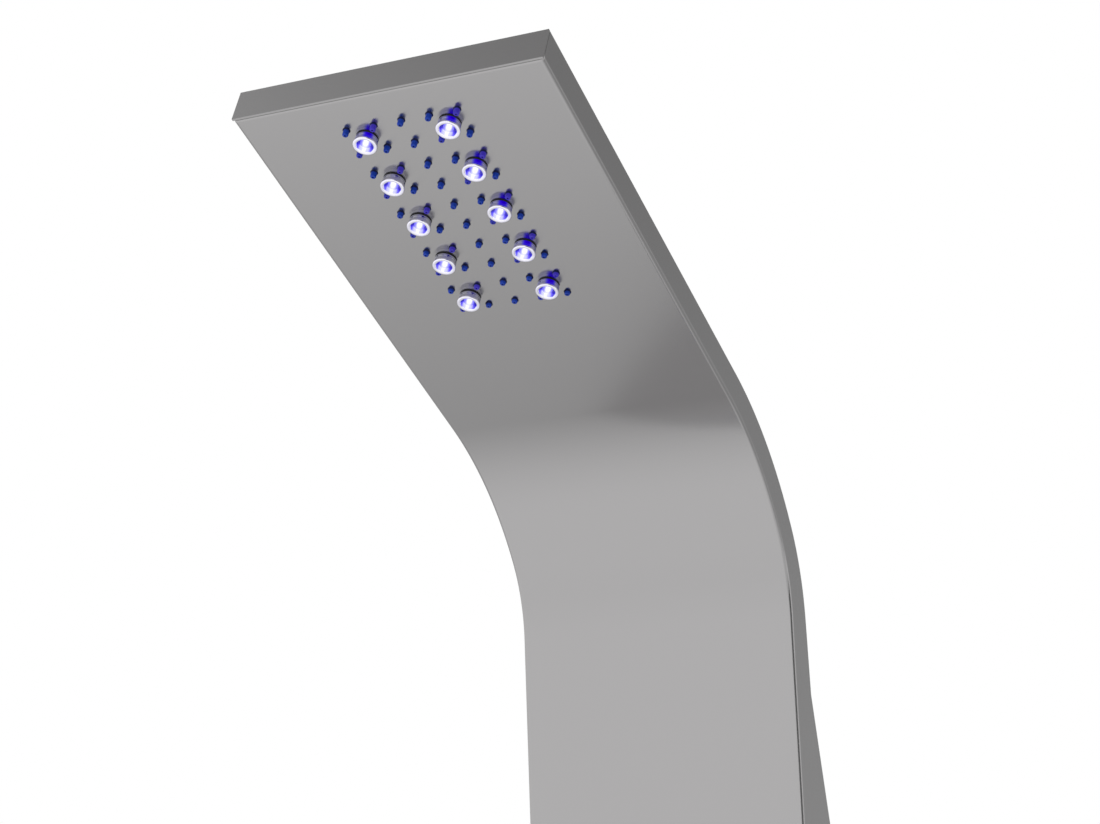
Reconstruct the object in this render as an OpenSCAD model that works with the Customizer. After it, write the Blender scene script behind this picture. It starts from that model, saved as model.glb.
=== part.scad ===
// Wall-mounted shower panel column: a folded steel channel that bends forward into a rain head
// with lights, two body sprays, a thermostatic valve, a diverter and a water-driven generator.
// Frame: +Z up, -Y out from the wall, origin on the wall plane at the upper bracket.

/* [Column] */
// Width of the panel over its two side flanges
panel_w = 200; // [190:2:240]
// Depth of the column from the wall to its front face
panel_d = 62; // [60:1:74]
// Height of the straight front above the upper bracket
column_rise = 240; // [230:5:300]
// Length of the column below the upper bracket
column_drop = 788; // [780:4:900]
// Thickness of the folded sheet
sheet_t = 1.5; // [1.2:0.1:1.8]

/* [Head] */
// Tilt of the head above the horizontal, in degrees
head_tilt = 27; // [22:1:34]
// Straight length of the head from the tip to the bend
head_len = 305; // [290:5:360]
// Depth of the head's side flanges
head_d = 22; // [22:0.5:28]
// Radius of the bend next to the head
bend_upper_r = 220; // [180:5:260]
// Radius of the bend next to the column
bend_lower_r = 100; // [90:5:140]
// Depth of the side flanges where the bend meets the column
shoulder_d = 28; // [26:1:32]
// Height over which the flanges widen back to the wall
shoulder_drop = 158; // [156:2:166]
// Thickness of the back cover
cover_t = 1.2; // [1:0.1:1.5]

/* [Spray] */
// Distance between neighbouring nozzles
nozzle_pitch = 18; // [18:0.5:19]
// Distance from the tip to the first row of nozzles
field_edge = 25; // [22:1:32]
// Diameter of a nozzle
nozzle_d = 4.4; // [3.8:0.2:5]
// How far the nozzles nearest the tip stand out of the sheet
nozzle_out = 4.4; // [3.6:0.2:6]
// How far the nozzles nearest the bend stand out of the sheet
nozzle_out_last = 2.4; // [2:0.2:4]
// Thickness of the silicone mat
mat_t = 2; // [1.6:0.1:2.2]
// Height of a water chamber
chamber_h = 10.5; // [10:0.1:10.8]
// Height of the upper body spray below the bracket line
jet_upper_z = 90; // [84:2:96]
// Height of the lower body spray below the bracket line
jet_lower_z = 270; // [264:2:290]

/* [Lights] */
// Outside diameter of a light's bezel
bezel_d = 14.7; // [14.3:0.1:15.5]
// How far a light stands out of the sheet
bezel_out = 6.4; // [6.2:0.2:8]
// Diameter of the shank that passes through the sheet
shank_d = 11.6; // [11.4:0.1:11.8]

/* [Valves] */
// Height of the diverter axis below the bracket line
diverter_z = 470; // [460:2:490]
// Height of the thermostat axis below the bracket line
thermostat_z = 590; // [580:2:610]
// Outside diameter of a knob
knob_d = 48; // [48:1:54]
// Distance from the front face to a knob's end
knob_out = 42; // [40:1:48]
// Outside diameter of the pipe thread on the nipples
thread_d = 20.9; // [20:0.1:21.5]
// Length of that thread
thread_len = 14; // [12:1:16]
// Outside diameter of a hose
hose_d = 12; // [11.5:0.5:12.5]

/* [Brackets] */
// Distance between the two wall brackets
bracket_gap = 530; // [526:1:534]
// Distance between the two screw holes of a bracket
hole_gap = 140; // [120:5:150]
// Diameter of a bracket's screw hole
hole_d = 6.5; // [5:0.5:7]

/* [Handset holder] */
// Height of the holder's pivot below the bracket line
holder_z = 370; // [350:5:390]
// Diameter of the socket
socket_d = 24; // [22:0.5:25]
// Height of the socket
socket_h = 28; // [24:1:34]

/* [Hidden] */
$fn = 48;

// Clearances and overruns
fit = 0.2;
running = 0.06;
over = 1;

// Front line of the panel, in [y, z]
front_y = -panel_d;
bend_turn = (90 - head_tilt) / 2;
lower_centre = [front_y - bend_lower_r, column_rise];
bend_join = lower_centre + bend_lower_r * [cos(bend_turn), sin(bend_turn)];
upper_centre = bend_join - bend_upper_r * [cos(bend_turn), sin(bend_turn)];
head_join = upper_centre + bend_upper_r * [cos(2 * bend_turn), sin(2 * bend_turn)];
tip = head_join + head_len * [-cos(head_tilt), sin(head_tilt)];

// Back edge of the side flanges
bend_steps = 28;
flank_d = 30.5;
flank_rise = 50;
flank_z = column_rise - flank_rise;
wall_z = column_rise - shoulder_drop;
inner_w = panel_w - 2 * sheet_t;

// Spray fields
rain_cols = 5;
rain_rows = 10;
jet_cols = 5;
jet_rows = 4;
field_border = 12;
chamber_wall = 3;
chamber_top_t = 2.5;
nozzle_tip_h = 0.9;
nozzle_tip_step = 0.7;
nozzle_tip_d = nozzle_d - 2 * nozzle_tip_step;
nozzle_bore_d = 1.4;
mat_top = sheet_t + mat_t;
chamber_top = mat_top + chamber_h;
sleeve_wall = 2.5;
sleeve_d = shank_d + 3 * fit;
ear_r = 6;
ear_t = 3;
stud_d = 4;
nut_d = 8;
nut_h = 3.2;
ear_reach = 6;
barb_d = 8;
barb_bore_d = 5;
barb_len = 14;
port_d = mat_top + chamber_h / 2;
led_pitch_y = 2 * nozzle_pitch;
led_x = 1.5 * nozzle_pitch;
led_first_y = nozzle_pitch / 2;

// Lights
seal_t = 0.8;
light_bore_d = 10.1;
lens_back = 2;
lens_stem_r = 3.1;
lens_dome_r = 3.2;
lens_shoulder = 3.6;
rim_t = 1.2;
rim_step = 0.55;
barrel_r = bezel_d / 2 - rim_step;
groove_z = 2.6;
groove_h = 0.6;
groove_depth = 0.4;
shank_bore_d = 8;
led_nut_d = 18;
led_nut_h = 2.4;
reflector_t = 1.2;
emitter_d = 4.6;
lead_d = 2.4;
board_t = 1.2;
board_top_gap = fit / 2;
connector = [12, 10, 7];

// Cover
cover_inset = 1;
cleat = [12, 14, 1.6];
cleat_screw_d = 4;
cleat_head_d = 7;
cleat_head_h = 1.6;
cleat_shares = [0.1, 0.52, 0.94];

// Hoses
hose_bore_d = barb_d + fit / 2;
riser_depth = 35;
head_hose_depth = port_d;
s_bend_r = 60;
bend_trim = 0.5;
collar_half = 3;
collar_wall = 0.5;
hose_x = 0;
s_start = 40;
jet_hose_x = 32;
jet_way_r = 6.5;
hand_x = 75;
hand_depth = 30;
cable_d = 4;
cable_x = 40;
cable_depth = 12;
wire_x = 36;
clip_len = 10;
clip_wall = 2.5;
clamp_t = 1;
clamp_h = 6;

// Generator
generator_z = 175;
generator_r = 18;
generator_half = 20;
generator_wall = 2.5;
neck_r = 9;
neck_h = 5;
neck_end = generator_half + neck_h;
port_r = 1.6;
rotor_r = 12;
rotor_h = 24;
rotor_hub_r = 4;
blade_t = 1.2;
blades = 8;
magnet_h = 8;
shaft_r = 1.5;
stator_t = 1.6;
saddle = [24, 20];
driver = [40, 15, 24];

// Valve body
valve_r = 24;
collar_r = 18;
collar_out = 13;
cartridge_r = 14;
cartridge_d = 32;
valve_back = 48;
web_w = 24;
web_front = 12;
web_back = 40;
inlet_x = 42;
inlet_depth = 30;
inlet_r = 12;
inlet_len = 45;
nipple_r = 9.1;
nipple_grip = 12;
nipple_hex_d = 27;
nipple_hex_h = 6;
nipple_bore_r = 6.5;
outlet_r = 8;
outlet_stub = 14;
relief_h = 0.5;
relief_depth = 0.7;
supply_notch_r = 16;
check_h = 12;

// Knobs
escutcheon_t = 5;
escutcheon_r = 30;
bonnet_wall = 2.5;
bonnet_t = 2;
spindle_r = 5;
spindle_depth = 8;
knob_wall = 2.6;
knob_end_t = 4;
knob_gap = 0.8;
hub_r = 9;
hub_gap = 1;
lever_w = 9;
lever_reach = 20;
lever_t = 9;
button_r = 4;
button_proud = 1.2;
button_flange_t = 1.5;
button_flange_r = 5.2;
button_back = 12;
button_z = knob_out - button_back;

// Brackets
bracket_w = 176;
bracket_t = 2;
bracket_low = 28;
bracket_high = 12;
hook_reach = 10;
hook_z = -3;
lip_high = 8;
hanger_low = 20;
ear_depth = 30;
screw_drop = 16;

// Handset holder
holder_base_size = [6, 24, 44];
holder_share = 0.5;
stub_r = 7;
stub_head_r = 9;
stub_head_t = 2.5;
cradle_wall = 4.5;
cradle_neck = 6;
slot_w = 14;

// Head frame: x across, y from the tip to the bend, z from the outer face inwards
module on_head() {
    translate([0, tip.x, tip.y]) rotate([-head_tilt, 0, 0]) children();
}

// Column frame: x across, y down, z from the outer face inwards
module on_column(z) {
    translate([0, front_y, z]) rotate([-90, 0, 0]) children();
}

// A disc, tube or rod between two depths of the frame in use
module rod(from, to, r) {
    translate([0, 0, from]) cylinder(h = to - from, r = r);
}

module tube(from, to, outer, inner) {
    difference() {
        rod(from, to, outer);
        rod(from - over, to + over, inner);
    }
}

module hex(from, to, d) {
    translate([0, 0, from]) cylinder(h = to - from, d = d, $fn = 6);
}

// Four stretches that follow the front line; the child is a section, x across and y inwards
module along_head(from, to) {
    on_head() translate([0, to, 0]) rotate([90, 0, 0]) linear_extrude(to - from) children();
}

module along_arc(centre, r, start, turn) {
    translate([0, centre.x, centre.y]) rotate([90, 0, 90])
        rotate_extrude(angle = turn, start = start, $fn = 120)
            translate([r, 0]) mirror([0, 1]) rotate(-90) children();
}

module along_column(from, to) {
    translate([0, front_y, from]) linear_extrude(to - from) children();
}

module along_bend(trim = 0) {
    along_arc(upper_centre, bend_upper_r, bend_turn + trim, bend_turn - 2 * trim) children();
    along_arc(lower_centre, bend_lower_r, trim, bend_turn - 2 * trim) children();
}

// Points on the panel's side view, in [y, z]: on the head, and on the bend at a given turn
function head_point(along, depth) =
    tip + along * [cos(head_tilt), -sin(head_tilt)] + depth * [sin(head_tilt), cos(head_tilt)];
function bend_point(turn, depth) =
    let (centre = turn < bend_turn ? lower_centre : upper_centre,
        r = turn < bend_turn ? bend_lower_r : bend_upper_r)
    centre + (r + depth) * [cos(turn), sin(turn)];

// The front line at a given depth, from the tip to the bottom
function front_line(depth) = concat(
    [head_point(sheet_t, depth)],
    [for (i = [0 : bend_steps]) bend_point(2 * bend_turn * (1 - i / bend_steps), depth)],
    [[front_y + depth, -column_drop]]);

// Back edge at a given inset from the flanges' edge, from the tip down to the wall
function back_edge(inset) = concat(
    [head_point(sheet_t, head_d - inset)],
    [for (i = [0 : bend_steps]) bend_point(2 * bend_turn * (1 - i / bend_steps),
        head_d - inset + (shoulder_d - head_d) * i / bend_steps)],
    [[front_y + flank_d - inset, flank_z], [-inset, wall_z]]);
function reversed(points) = [for (i = [len(points) - 1 : -1 : 0]) points[i]];

// A side view stretched across the panel
module across(w) {
    rotate([90, 0, 90]) translate([0, 0, -w / 2]) linear_extrude(w) children();
}

// A field of nozzle places, the first row at y = 0
module each_nozzle(cols, rows) {
    for (i = [0 : cols - 1]) for (j = [0 : rows - 1])
        translate([(i - (cols - 1) / 2) * nozzle_pitch, j * nozzle_pitch, 0]) children();
}

module each_led() {
    for (side = [-1, 1]) for (k = [0 : rain_rows / 2 - 1])
        translate([side * led_x, led_first_y + k * led_pitch_y, 0]) children();
}

module field_box(cols, rows, from, to, inset) {
    w = (cols - 1) * nozzle_pitch + 2 * (field_border - inset);
    h = (rows - 1) * nozzle_pitch + 2 * (field_border - inset);
    translate([-w / 2, -field_border + inset, from]) cube([w, h, to - from]);
}

module each_ear(cols, rows) {
    x = (cols - 1) / 2 * nozzle_pitch + field_border + ear_reach;
    for (side = [-1, 1]) for (share = [0, 1])
        translate([side * x, share * (rows - 1) * nozzle_pitch, 0]) children();
}

module spray_holes(cols, rows) {
    each_nozzle(cols, rows) rod(-over, sheet_t + over, nozzle_d / 2 + fit);
}

// Silicone mat with its nozzles, whose reach changes evenly from the first row to the last;
// a lit mat leaves room for the lights' shanks
module nozzle(out) {
    rod(-out + nozzle_tip_h, sheet_t, nozzle_d / 2);
    translate([0, 0, -out]) cylinder(h = nozzle_tip_h, d1 = nozzle_tip_d, d2 = nozzle_d);
}

module spray_mat(cols, rows, lit, last_out) {
    difference() {
        union() {
            field_box(cols, rows, sheet_t, mat_top, 0);
            for (i = [0 : cols - 1]) for (j = [0 : rows - 1])
                translate([(i - (cols - 1) / 2) * nozzle_pitch, j * nozzle_pitch, 0])
                    nozzle(nozzle_out + (last_out - nozzle_out) * j / (rows - 1));
        }
        each_nozzle(cols, rows) rod(-nozzle_out - over, mat_top + over, nozzle_bore_d / 2);
        if (lit) each_led() rod(sheet_t - over, mat_top + over, sleeve_d / 2);
    }
}

module chamber_barb(y, direction) {
    translate([0, y, port_d]) rotate([-direction * 90, 0, 0]) rod(0, barb_len, barb_d / 2);
}

module chamber_bore(y, direction) {
    translate([0, y, port_d]) rotate([-direction * 90, 0, 0])
        rod(-chamber_wall - over, barb_len + over, barb_bore_d / 2);
}

// Water chamber: a moulded box, open to the mat, with ears for its studs
module spray_chamber(cols, rows, lit, hose_place, both_ends) {
    last = (rows - 1) * nozzle_pitch + field_border;
    bar_w = (cols - 1) * nozzle_pitch + 2 * (ear_reach + field_border);
    difference() {
        union() {
            field_box(cols, rows, mat_top, chamber_top, 0);
            each_ear(cols, rows) rod(mat_top, mat_top + ear_t, ear_r);
            for (share = [0, 1])
                translate([-bar_w / 2, share * (rows - 1) * nozzle_pitch - ear_r, mat_top])
                    cube([bar_w, 2 * ear_r, ear_t]);
            translate([hose_place, 0, 0]) chamber_barb(last, 1);
            if (both_ends) translate([hose_place, 0, 0]) chamber_barb(-field_border, -1);
        }
        difference() {
            field_box(cols, rows, mat_top - over, chamber_top - chamber_top_t, chamber_wall);
            if (lit) each_led() rod(mat_top - 2 * over, chamber_top, sleeve_d / 2 + sleeve_wall);
        }
        if (lit) each_led() rod(mat_top - over, chamber_top + over, sleeve_d / 2);
        each_ear(cols, rows) rod(mat_top - over, mat_top + ear_t + over, stud_d / 2 + fit);
        translate([hose_place, 0, 0]) chamber_bore(last, 1);
        if (both_ends) translate([hose_place, 0, 0]) chamber_bore(-field_border, -1);
    }
}

module spray_studs(cols, rows) {
    each_ear(cols, rows) rod(sheet_t, mat_top + ear_t + nut_h + over, stud_d / 2);
}

module spray_nuts(cols, rows) {
    each_ear(cols, rows) difference() {
        hex(mat_top + ear_t, mat_top + ear_t + nut_h, nut_d);
        rod(mat_top, mat_top + ear_t + nut_h + over, stud_d / 2 + running);
    }
}

module on_rain_field() {
    on_head() translate([0, field_edge, 0]) children();
}

module on_jet_field(z) {
    on_column(-z) translate([0, -(jet_rows - 1) / 2 * nozzle_pitch, 0]) children();
}

module rain_chamber() {
    color([0.86, 0.86, 0.84]) on_rain_field() spray_chamber(rain_cols, rain_rows, true, hose_x, false);
}

module rain_mat() {
    color([0.05, 0.12, 0.6]) on_rain_field() spray_mat(rain_cols, rain_rows, true, nozzle_out_last);
}

module rain_studs() {
    color([0.7, 0.7, 0.7]) on_rain_field() spray_studs(rain_cols, rain_rows);
}

module rain_nuts() {
    color([0.72, 0.72, 0.72]) on_rain_field() spray_nuts(rain_cols, rain_rows);
}

module jet_chamber(z, both_ends) {
    color([0.86, 0.86, 0.84]) on_jet_field(z)
        spray_chamber(jet_cols, jet_rows, false, -jet_hose_x, both_ends);
}

module jet_mat(z) {
    color([0.05, 0.12, 0.6]) on_jet_field(z) spray_mat(jet_cols, jet_rows, false, nozzle_out);
}

module jet_studs() {
    color([0.7, 0.7, 0.7]) for (z = [jet_upper_z, jet_lower_z])
        on_jet_field(z) spray_studs(jet_cols, jet_rows);
}

module jet_nuts() {
    color([0.72, 0.72, 0.72]) for (z = [jet_upper_z, jet_lower_z])
        on_jet_field(z) spray_nuts(jet_cols, jet_rows);
}

module front_panel() {
    color([0.62, 0.61, 0.60]) difference() {
        union() {
            across(panel_w) polygon(concat(front_line(0), reversed(front_line(sheet_t))));
            for (side = [-1, 1]) translate([side * (panel_w - sheet_t) / 2, 0, 0]) across(sheet_t)
                polygon(concat(front_line(0), [[0, -column_drop]], reversed(back_edge(0))));
        }
        on_rain_field() {
            spray_holes(rain_cols, rain_rows);
            each_led() rod(-over, sheet_t + over, shank_d / 2 + fit);
        }
        for (z = [jet_upper_z, jet_lower_z]) on_jet_field(z) spray_holes(jet_cols, jet_rows);
        for (z = [diverter_z, thermostat_z]) on_column(-z) rod(-over, sheet_t + over, collar_r + fit);
        holder_place() rotate([0, -90, 0]) rod(-over, sheet_t + over, cleat_screw_d / 2 + fit);
    }
}

module tip_end_plate() {
    tab_w = inner_w - 2 * sheet_t;
    color([0.55, 0.54, 0.53]) on_head() {
        translate([-panel_w / 2, 0, fit]) cube([panel_w, sheet_t, head_d]);
        translate([-tab_w / 2, 0, sheet_t]) cube([tab_w, field_border / 2, sheet_t]);
    }
}

module back_cover() {
    w = inner_w - 2 * fit;
    color([0.58, 0.57, 0.56]) difference() {
        across(w) polygon(concat(back_edge(cover_inset), reversed(back_edge(cover_inset + cover_t))));
        each_cleat() rod(0, head_d, cleat_screw_d / 2 + fit);
    }
}

// Places of the cover's cleats, on the inside of both flanges
module each_cleat() {
    on_head() for (side = [-1, 1]) for (share = cleat_shares)
        translate([side * (inner_w / 2 - cleat.x / 2), share * head_len, 0]) children();
}

cover_in = head_d - cover_inset - cover_t;

module cover_cleats() {
    color([0.5, 0.5, 0.5]) each_cleat() difference() {
        translate([-cleat.x / 2, -cleat.y / 2, cover_in - cleat.y]) cube([cleat.x, cleat.y, cleat.y]);
        translate([-cleat.x / 2 + cleat.z, -cleat.y, cover_in - cleat.y - over])
            cube([cleat.x - 2 * cleat.z, 2 * cleat.y, cleat.y - cleat.z + over]);
        rod(cover_in - cleat.y, cover_in + over, cleat_screw_d / 2 + running);
    }
}

module cover_screws() {
    color([0.7, 0.7, 0.7]) each_cleat() {
        rod(cover_in - cleat.y / 2, head_d - cover_inset, cleat_screw_d / 2);
        rod(head_d - cover_inset, head_d - cover_inset + cleat_head_h, cleat_head_d / 2);
    }
}

module bottom_plate() {
    plate_d = panel_d - sheet_t - fit;
    neck = 2 * supply_notch_r - 2 * sheet_t;
    color([0.58, 0.57, 0.56]) difference() {
        union() {
            translate([-inner_w / 2, front_y + sheet_t, -column_drop]) cube([inner_w, plate_d, sheet_t]);
            for (side = [-1, 1])
                translate([side * (inner_w - sheet_t) / 2 - sheet_t / 2, front_y + sheet_t, -column_drop])
                    cube([sheet_t, plate_d, cleat.y]);
        }
        translate([hand_x, front_y + hand_depth, -column_drop])
            rod(-over, sheet_t + over, thread_d / 2 + fit);
        for (side = [-1, 1]) translate([side * inlet_x, front_y + inlet_depth, -column_drop]) {
            rod(-over, sheet_t + over, supply_notch_r);
            translate([-neck / 2, 0, -over]) cube([neck, panel_d, sheet_t + 2 * over]);
        }
    }
}

module wall_bracket(z) {
    lip_y = -hook_reach - bracket_t;
    color([0.66, 0.66, 0.66]) translate([0, 0, z]) difference() {
        across(bracket_w) {
            translate([-bracket_t, -bracket_low]) square([bracket_t, bracket_low + bracket_high]);
            translate([lip_y, hook_z]) square([hook_reach + bracket_t, bracket_t]);
            translate([lip_y, hook_z]) square([bracket_t, lip_high - hook_z]);
        }
        for (side = [-1, 1]) translate([side * hole_gap / 2, 0, -screw_drop]) rotate([90, 0, 0])
            rod(-over, bracket_t + over, hole_d / 2);
    }
}

module hanger(z) {
    back = -hook_reach - bracket_t - fit;
    front = back - bracket_t;
    shelf = lip_high;
    tip_y = -hook_reach + fit;
    ear_x = inner_w / 2 - bracket_t;
    color([0.6, 0.6, 0.6]) translate([0, 0, z]) {
        across(inner_w) {
            translate([front, -hanger_low]) square([bracket_t, hanger_low + shelf]);
            translate([front, shelf]) square([tip_y + bracket_t - front, bracket_t]);
            translate([tip_y, shelf - lip_high / 2]) square([bracket_t, lip_high / 2]);
        }
        for (side = [-1, 1])
            translate([side * (ear_x + bracket_t / 2) - bracket_t / 2, front - ear_depth, -hanger_low])
                cube([bracket_t, ear_depth, hanger_low + shelf]);
    }
}

// Lights
module led_bezels() {
    color([0.85, 0.85, 0.88]) on_rain_field() each_led() difference() {
        union() {
            rod(-bezel_out, rim_t - bezel_out, bezel_d / 2);
            rod(-bezel_out + rim_t / 2, -seal_t, barrel_r);
            rod(-seal_t, chamber_top + led_nut_h, shank_d / 2);
        }
        tube(-groove_z - groove_h, -groove_z, bezel_d, barrel_r - groove_depth);
        rod(-bezel_out - over, -lens_back, light_bore_d / 2 + running);
        rod(-lens_back - over, chamber_top + led_nut_h + over, shank_bore_d / 2);
    }
}

module led_seals() {
    color([0.12, 0.12, 0.13]) on_rain_field() each_led()
        tube(-seal_t, 0, barrel_r - fit, shank_d / 2 + running);
}

// A stem with a dome a little wider than it
module led_lenses() {
    color([0.75, 0.78, 1.0]) on_rain_field() each_led() {
        rod(-lens_shoulder - fit, -lens_back, lens_stem_r);
        translate([0, 0, -lens_shoulder]) intersection() {
            sphere(r = lens_dome_r);
            rod(-2 * lens_dome_r, 0, 2 * lens_dome_r);
        }
    }
}

module led_reflectors() {
    color([0.2, 0.2, 0.8]) on_rain_field() each_led()
        tube(-lens_back - reflector_t, -lens_back, light_bore_d / 2, lens_stem_r + running);
}

module led_emitters() {
    color([0.9, 0.9, 1.0]) on_rain_field() each_led() {
        rod(-lens_back, -lens_back + seal_t, emitter_d / 2);
        rod(-lens_back + seal_t, chamber_wall, shank_bore_d / 2 - running);
        rod(chamber_wall, chamber_top + led_nut_h + board_top_gap, lead_d / 2);
    }
}

module led_nuts() {
    color([0.7, 0.7, 0.7]) on_rain_field() each_led() difference() {
        hex(chamber_top, chamber_top + led_nut_h, led_nut_d);
        rod(chamber_top - over, chamber_top + led_nut_h + over, shank_d / 2 + running);
    }
}

board_z = chamber_top + led_nut_h + board_top_gap;
board_last = (rain_rows - 1) * nozzle_pitch + field_border;

module led_board() {
    color([0.1, 0.35, 0.2]) on_rain_field() {
        field_box(rain_cols, rain_rows, board_z, board_z + board_t, 0);
        translate([cable_x - connector.x / 2, board_last - over, board_z])
            cube([connector.x, connector.y + barb_len, board_t]);
        translate([cable_x - connector.x / 2, board_last + barb_len - over, board_z - connector.z])
            cube([connector.x, connector.y, connector.z]);
    }
}

// Generator, on the riser's line: z runs up in this frame
module on_riser(z) {
    translate([hose_x, front_y + riser_depth, z]) children();
}

// Neck at an end of the generator: a hollow boss with a barb, reached through four ports
module generator_neck() {
    rod(generator_half, neck_end, neck_r);
    rod(neck_end, neck_end + barb_len, barb_d / 2);
}

module generator_neck_ways() {
    rod(generator_half, neck_end - blade_t, neck_r - blade_t);
    rod(generator_half, neck_end + barb_len + over, barb_bore_d / 2);
    for (i = [0 : 3]) rotate([0, 0, 90 * i]) translate([neck_r / 2, 0, 0])
        rod(generator_half - generator_wall - over, generator_half + over, port_r);
}

module generator_housing() {
    color([0.18, 0.18, 0.2]) on_riser(-generator_z) difference() {
        union() {
            rod(-generator_half, generator_half - generator_wall, generator_r);
            rotate([180, 0, 0]) generator_neck();
            translate([-saddle.x / 2, sheet_t - riser_depth, -saddle.y / 2])
                cube([saddle.x, riser_depth - sheet_t, saddle.y]);
        }
        rod(-generator_half + generator_wall, generator_half, generator_r - generator_wall);
        rotate([180, 0, 0]) generator_neck_ways();
    }
}

module generator_cap() {
    color([0.22, 0.22, 0.25]) on_riser(-generator_z) difference() {
        union() {
            rod(generator_half - generator_wall, generator_half, generator_r);
            generator_neck();
        }
        generator_neck_ways();
    }
}

rotor_low = -rotor_h / 2 - generator_wall;
rotor_high = rotor_low + rotor_h;
blade_top = rotor_high - magnet_h - blade_t;
seat = generator_half - generator_wall;

module generator_rotor() {
    color([0.9, 0.9, 0.92]) on_riser(-generator_z) difference() {
        union() {
            difference() {
                rod(blade_top, rotor_high, rotor_r);
                rod(blade_top + blade_t, rotor_high + over, rotor_r - 2 * blade_t);
            }
            rod(rotor_low, rotor_high - over, rotor_hub_r);
            for (i = [0 : blades - 1]) rotate([0, 0, 360 / blades * i])
                translate([shaft_r + blade_t, -blade_t / 2, rotor_low + blade_t])
                    cube([rotor_r - shaft_r - 2 * blade_t, blade_t, blade_top - rotor_low - blade_t / 2]);
        }
        rod(rotor_low - over, rotor_high + over, shaft_r + running);
    }
}

module generator_shaft() {
    color([0.75, 0.75, 0.75]) on_riser(-generator_z) {
        rod(-seat, seat, shaft_r);
        rod(-seat, rotor_low - fit, shaft_r + blade_t);
        rod(rotor_high + fit, seat, shaft_r + blade_t);
    }
}

module generator_stator() {
    color([0.7, 0.4, 0.2]) on_riser(-generator_z)
        tube(rotor_high - magnet_h, seat, generator_r - generator_wall,
            generator_r - generator_wall - stator_t);
}

hanger_front = hook_reach + 2 * bracket_t + fit;

// From the generator's side up to the driver
module generator_cable() {
    r = cable_d / 2;
    side_z = -generator_z + magnet_h;
    color([0.08, 0.08, 0.09]) {
        beam_x(side_z, riser_depth, generator_r, wire_x, r);
        translate([wire_x, front_y + riser_depth, side_z]) sphere(r + collar_wall);
        post_z(wire_x, riser_depth, side_z, driver_low, r);
    }
}

module led_driver() {
    color([0.15, 0.15, 0.17])
        translate([cable_x - driver.x / 4, -hanger_front - driver.y, driver_low]) cube(driver);
}

driver_top = driver.z / 2 - lip_high / 2;
driver_low = driver_top - driver.z;
driver_depth = panel_d - hanger_front - driver.y / 2;

// Each bend of a hose starts and ends inside a short collar
module collar(r) {
    rod(-collar_half, collar_half, r + collar_wall);
}

// An S-bend on the panel's depth: up from one depth to a shallower one, in a plane of constant x
function s_turn(shift) = acos(1 - shift / (2 * s_bend_r));
module s_bend(x, z, deep, shallow, r) {
    turn = s_turn(deep - shallow);
    half = s_bend_r * sin(turn);
    arc = turn - 2 * bend_trim;
    translate([x, front_y, z]) rotate([90, 0, 90]) {
        translate([deep - s_bend_r, 0]) rotate_extrude(angle = arc, start = bend_trim)
            translate([s_bend_r, 0]) circle(r);
        translate([deep, 0]) rotate([-90, 0, 0]) collar(r);
        translate([(deep + shallow) / 2, half]) rotate([-90, 0, turn]) collar(r);
        translate([shallow, 2 * half]) rotate([-90, 0, 0]) collar(r);
        translate([shallow + s_bend_r, 2 * half]) rotate_extrude(angle = arc, start = 180 + bend_trim)
            translate([s_bend_r, 0]) circle(r);
    }
}

// A collar on the front line's joins, square to it
module bend_collar(centre, radius, turn, x, r) {
    translate([x, centre.x, centre.y]) rotate([turn, 0, 0]) translate([0, radius, 0]) collar(r);
}

module hose_route(x, depth, r, start_z, deep, end_y) {
    top = start_z + 2 * s_bend_r * sin(s_turn(deep - depth));
    s_bend(x, start_z, deep, depth, r);
    along_column(top + over, column_rise - over) translate([x, depth]) circle(r);
    along_bend(bend_trim) translate([x, depth]) circle(r);
    along_head(end_y, head_len - over) translate([x, depth]) circle(r);
    bend_collar(lower_centre, bend_lower_r + depth, 0, x, r);
    bend_collar(lower_centre, bend_lower_r + depth, bend_turn, x, r);
    bend_collar(upper_centre, bend_upper_r + depth, 2 * bend_turn, x, r);
}

module led_cable() {
    color([0.08, 0.08, 0.09]) {
        hose_route(cable_x, cable_depth, cable_d / 2, s_start, driver_depth,
            field_edge + board_last + barb_len + connector.y - over);
        translate([cable_x, front_y + driver_depth, 0]) rod(driver_top, s_start - over, cable_d / 2);
    }
}

chamber_end = field_edge + (rain_rows - 1) * nozzle_pitch + field_border;
generator_top = -generator_z + neck_end;

module head_hose_solid(r) {
    hose_route(hose_x, head_hose_depth, r, s_start, riser_depth, chamber_end + fit);
    translate([hose_x, front_y + riser_depth, 0]) rod(generator_top + fit, s_start - over, r);
}

module head_hose() {
    color([0.75, 0.75, 0.77]) difference() {
        head_hose_solid(hose_d / 2);
        on_head() translate([hose_x, chamber_end, head_hose_depth]) rotate([-90, 0, 0])
            rod(0, barb_len + over, hose_bore_d / 2);
        translate([hose_x, front_y + riser_depth, generator_top]) rod(0, barb_len + over, hose_bore_d / 2);
    }
}

module straight_hose(x, depth, low, high) {
    color([0.75, 0.75, 0.77]) translate([x, front_y + depth, 0]) difference() {
        rod(low + fit, high - fit, hose_d / 2);
        rod(low, low + barb_len + over, hose_bore_d / 2);
        rod(high - barb_len - over, high, hose_bore_d / 2);
    }
}

riser_low = -diverter_z + valve_r + outlet_stub / 2;
riser_high = -generator_z - neck_end;
jet_half = (jet_rows - 1) / 2 * nozzle_pitch + field_border;
jet_feed_low = -diverter_z + outlet_stub;
outlet_nut_z = -column_drop + sheet_t;
hand_low = outlet_nut_z + nipple_hex_h;
hand_thread_top = -column_drop - relief_h;
hand_high = -diverter_z - outlet_stub;

module riser_hose() {
    straight_hose(hose_x, riser_depth, riser_low, riser_high);
}

module jet_feed_hose() {
    straight_hose(-jet_hose_x, port_d, jet_feed_low, -jet_lower_z - jet_half);
}

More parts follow.
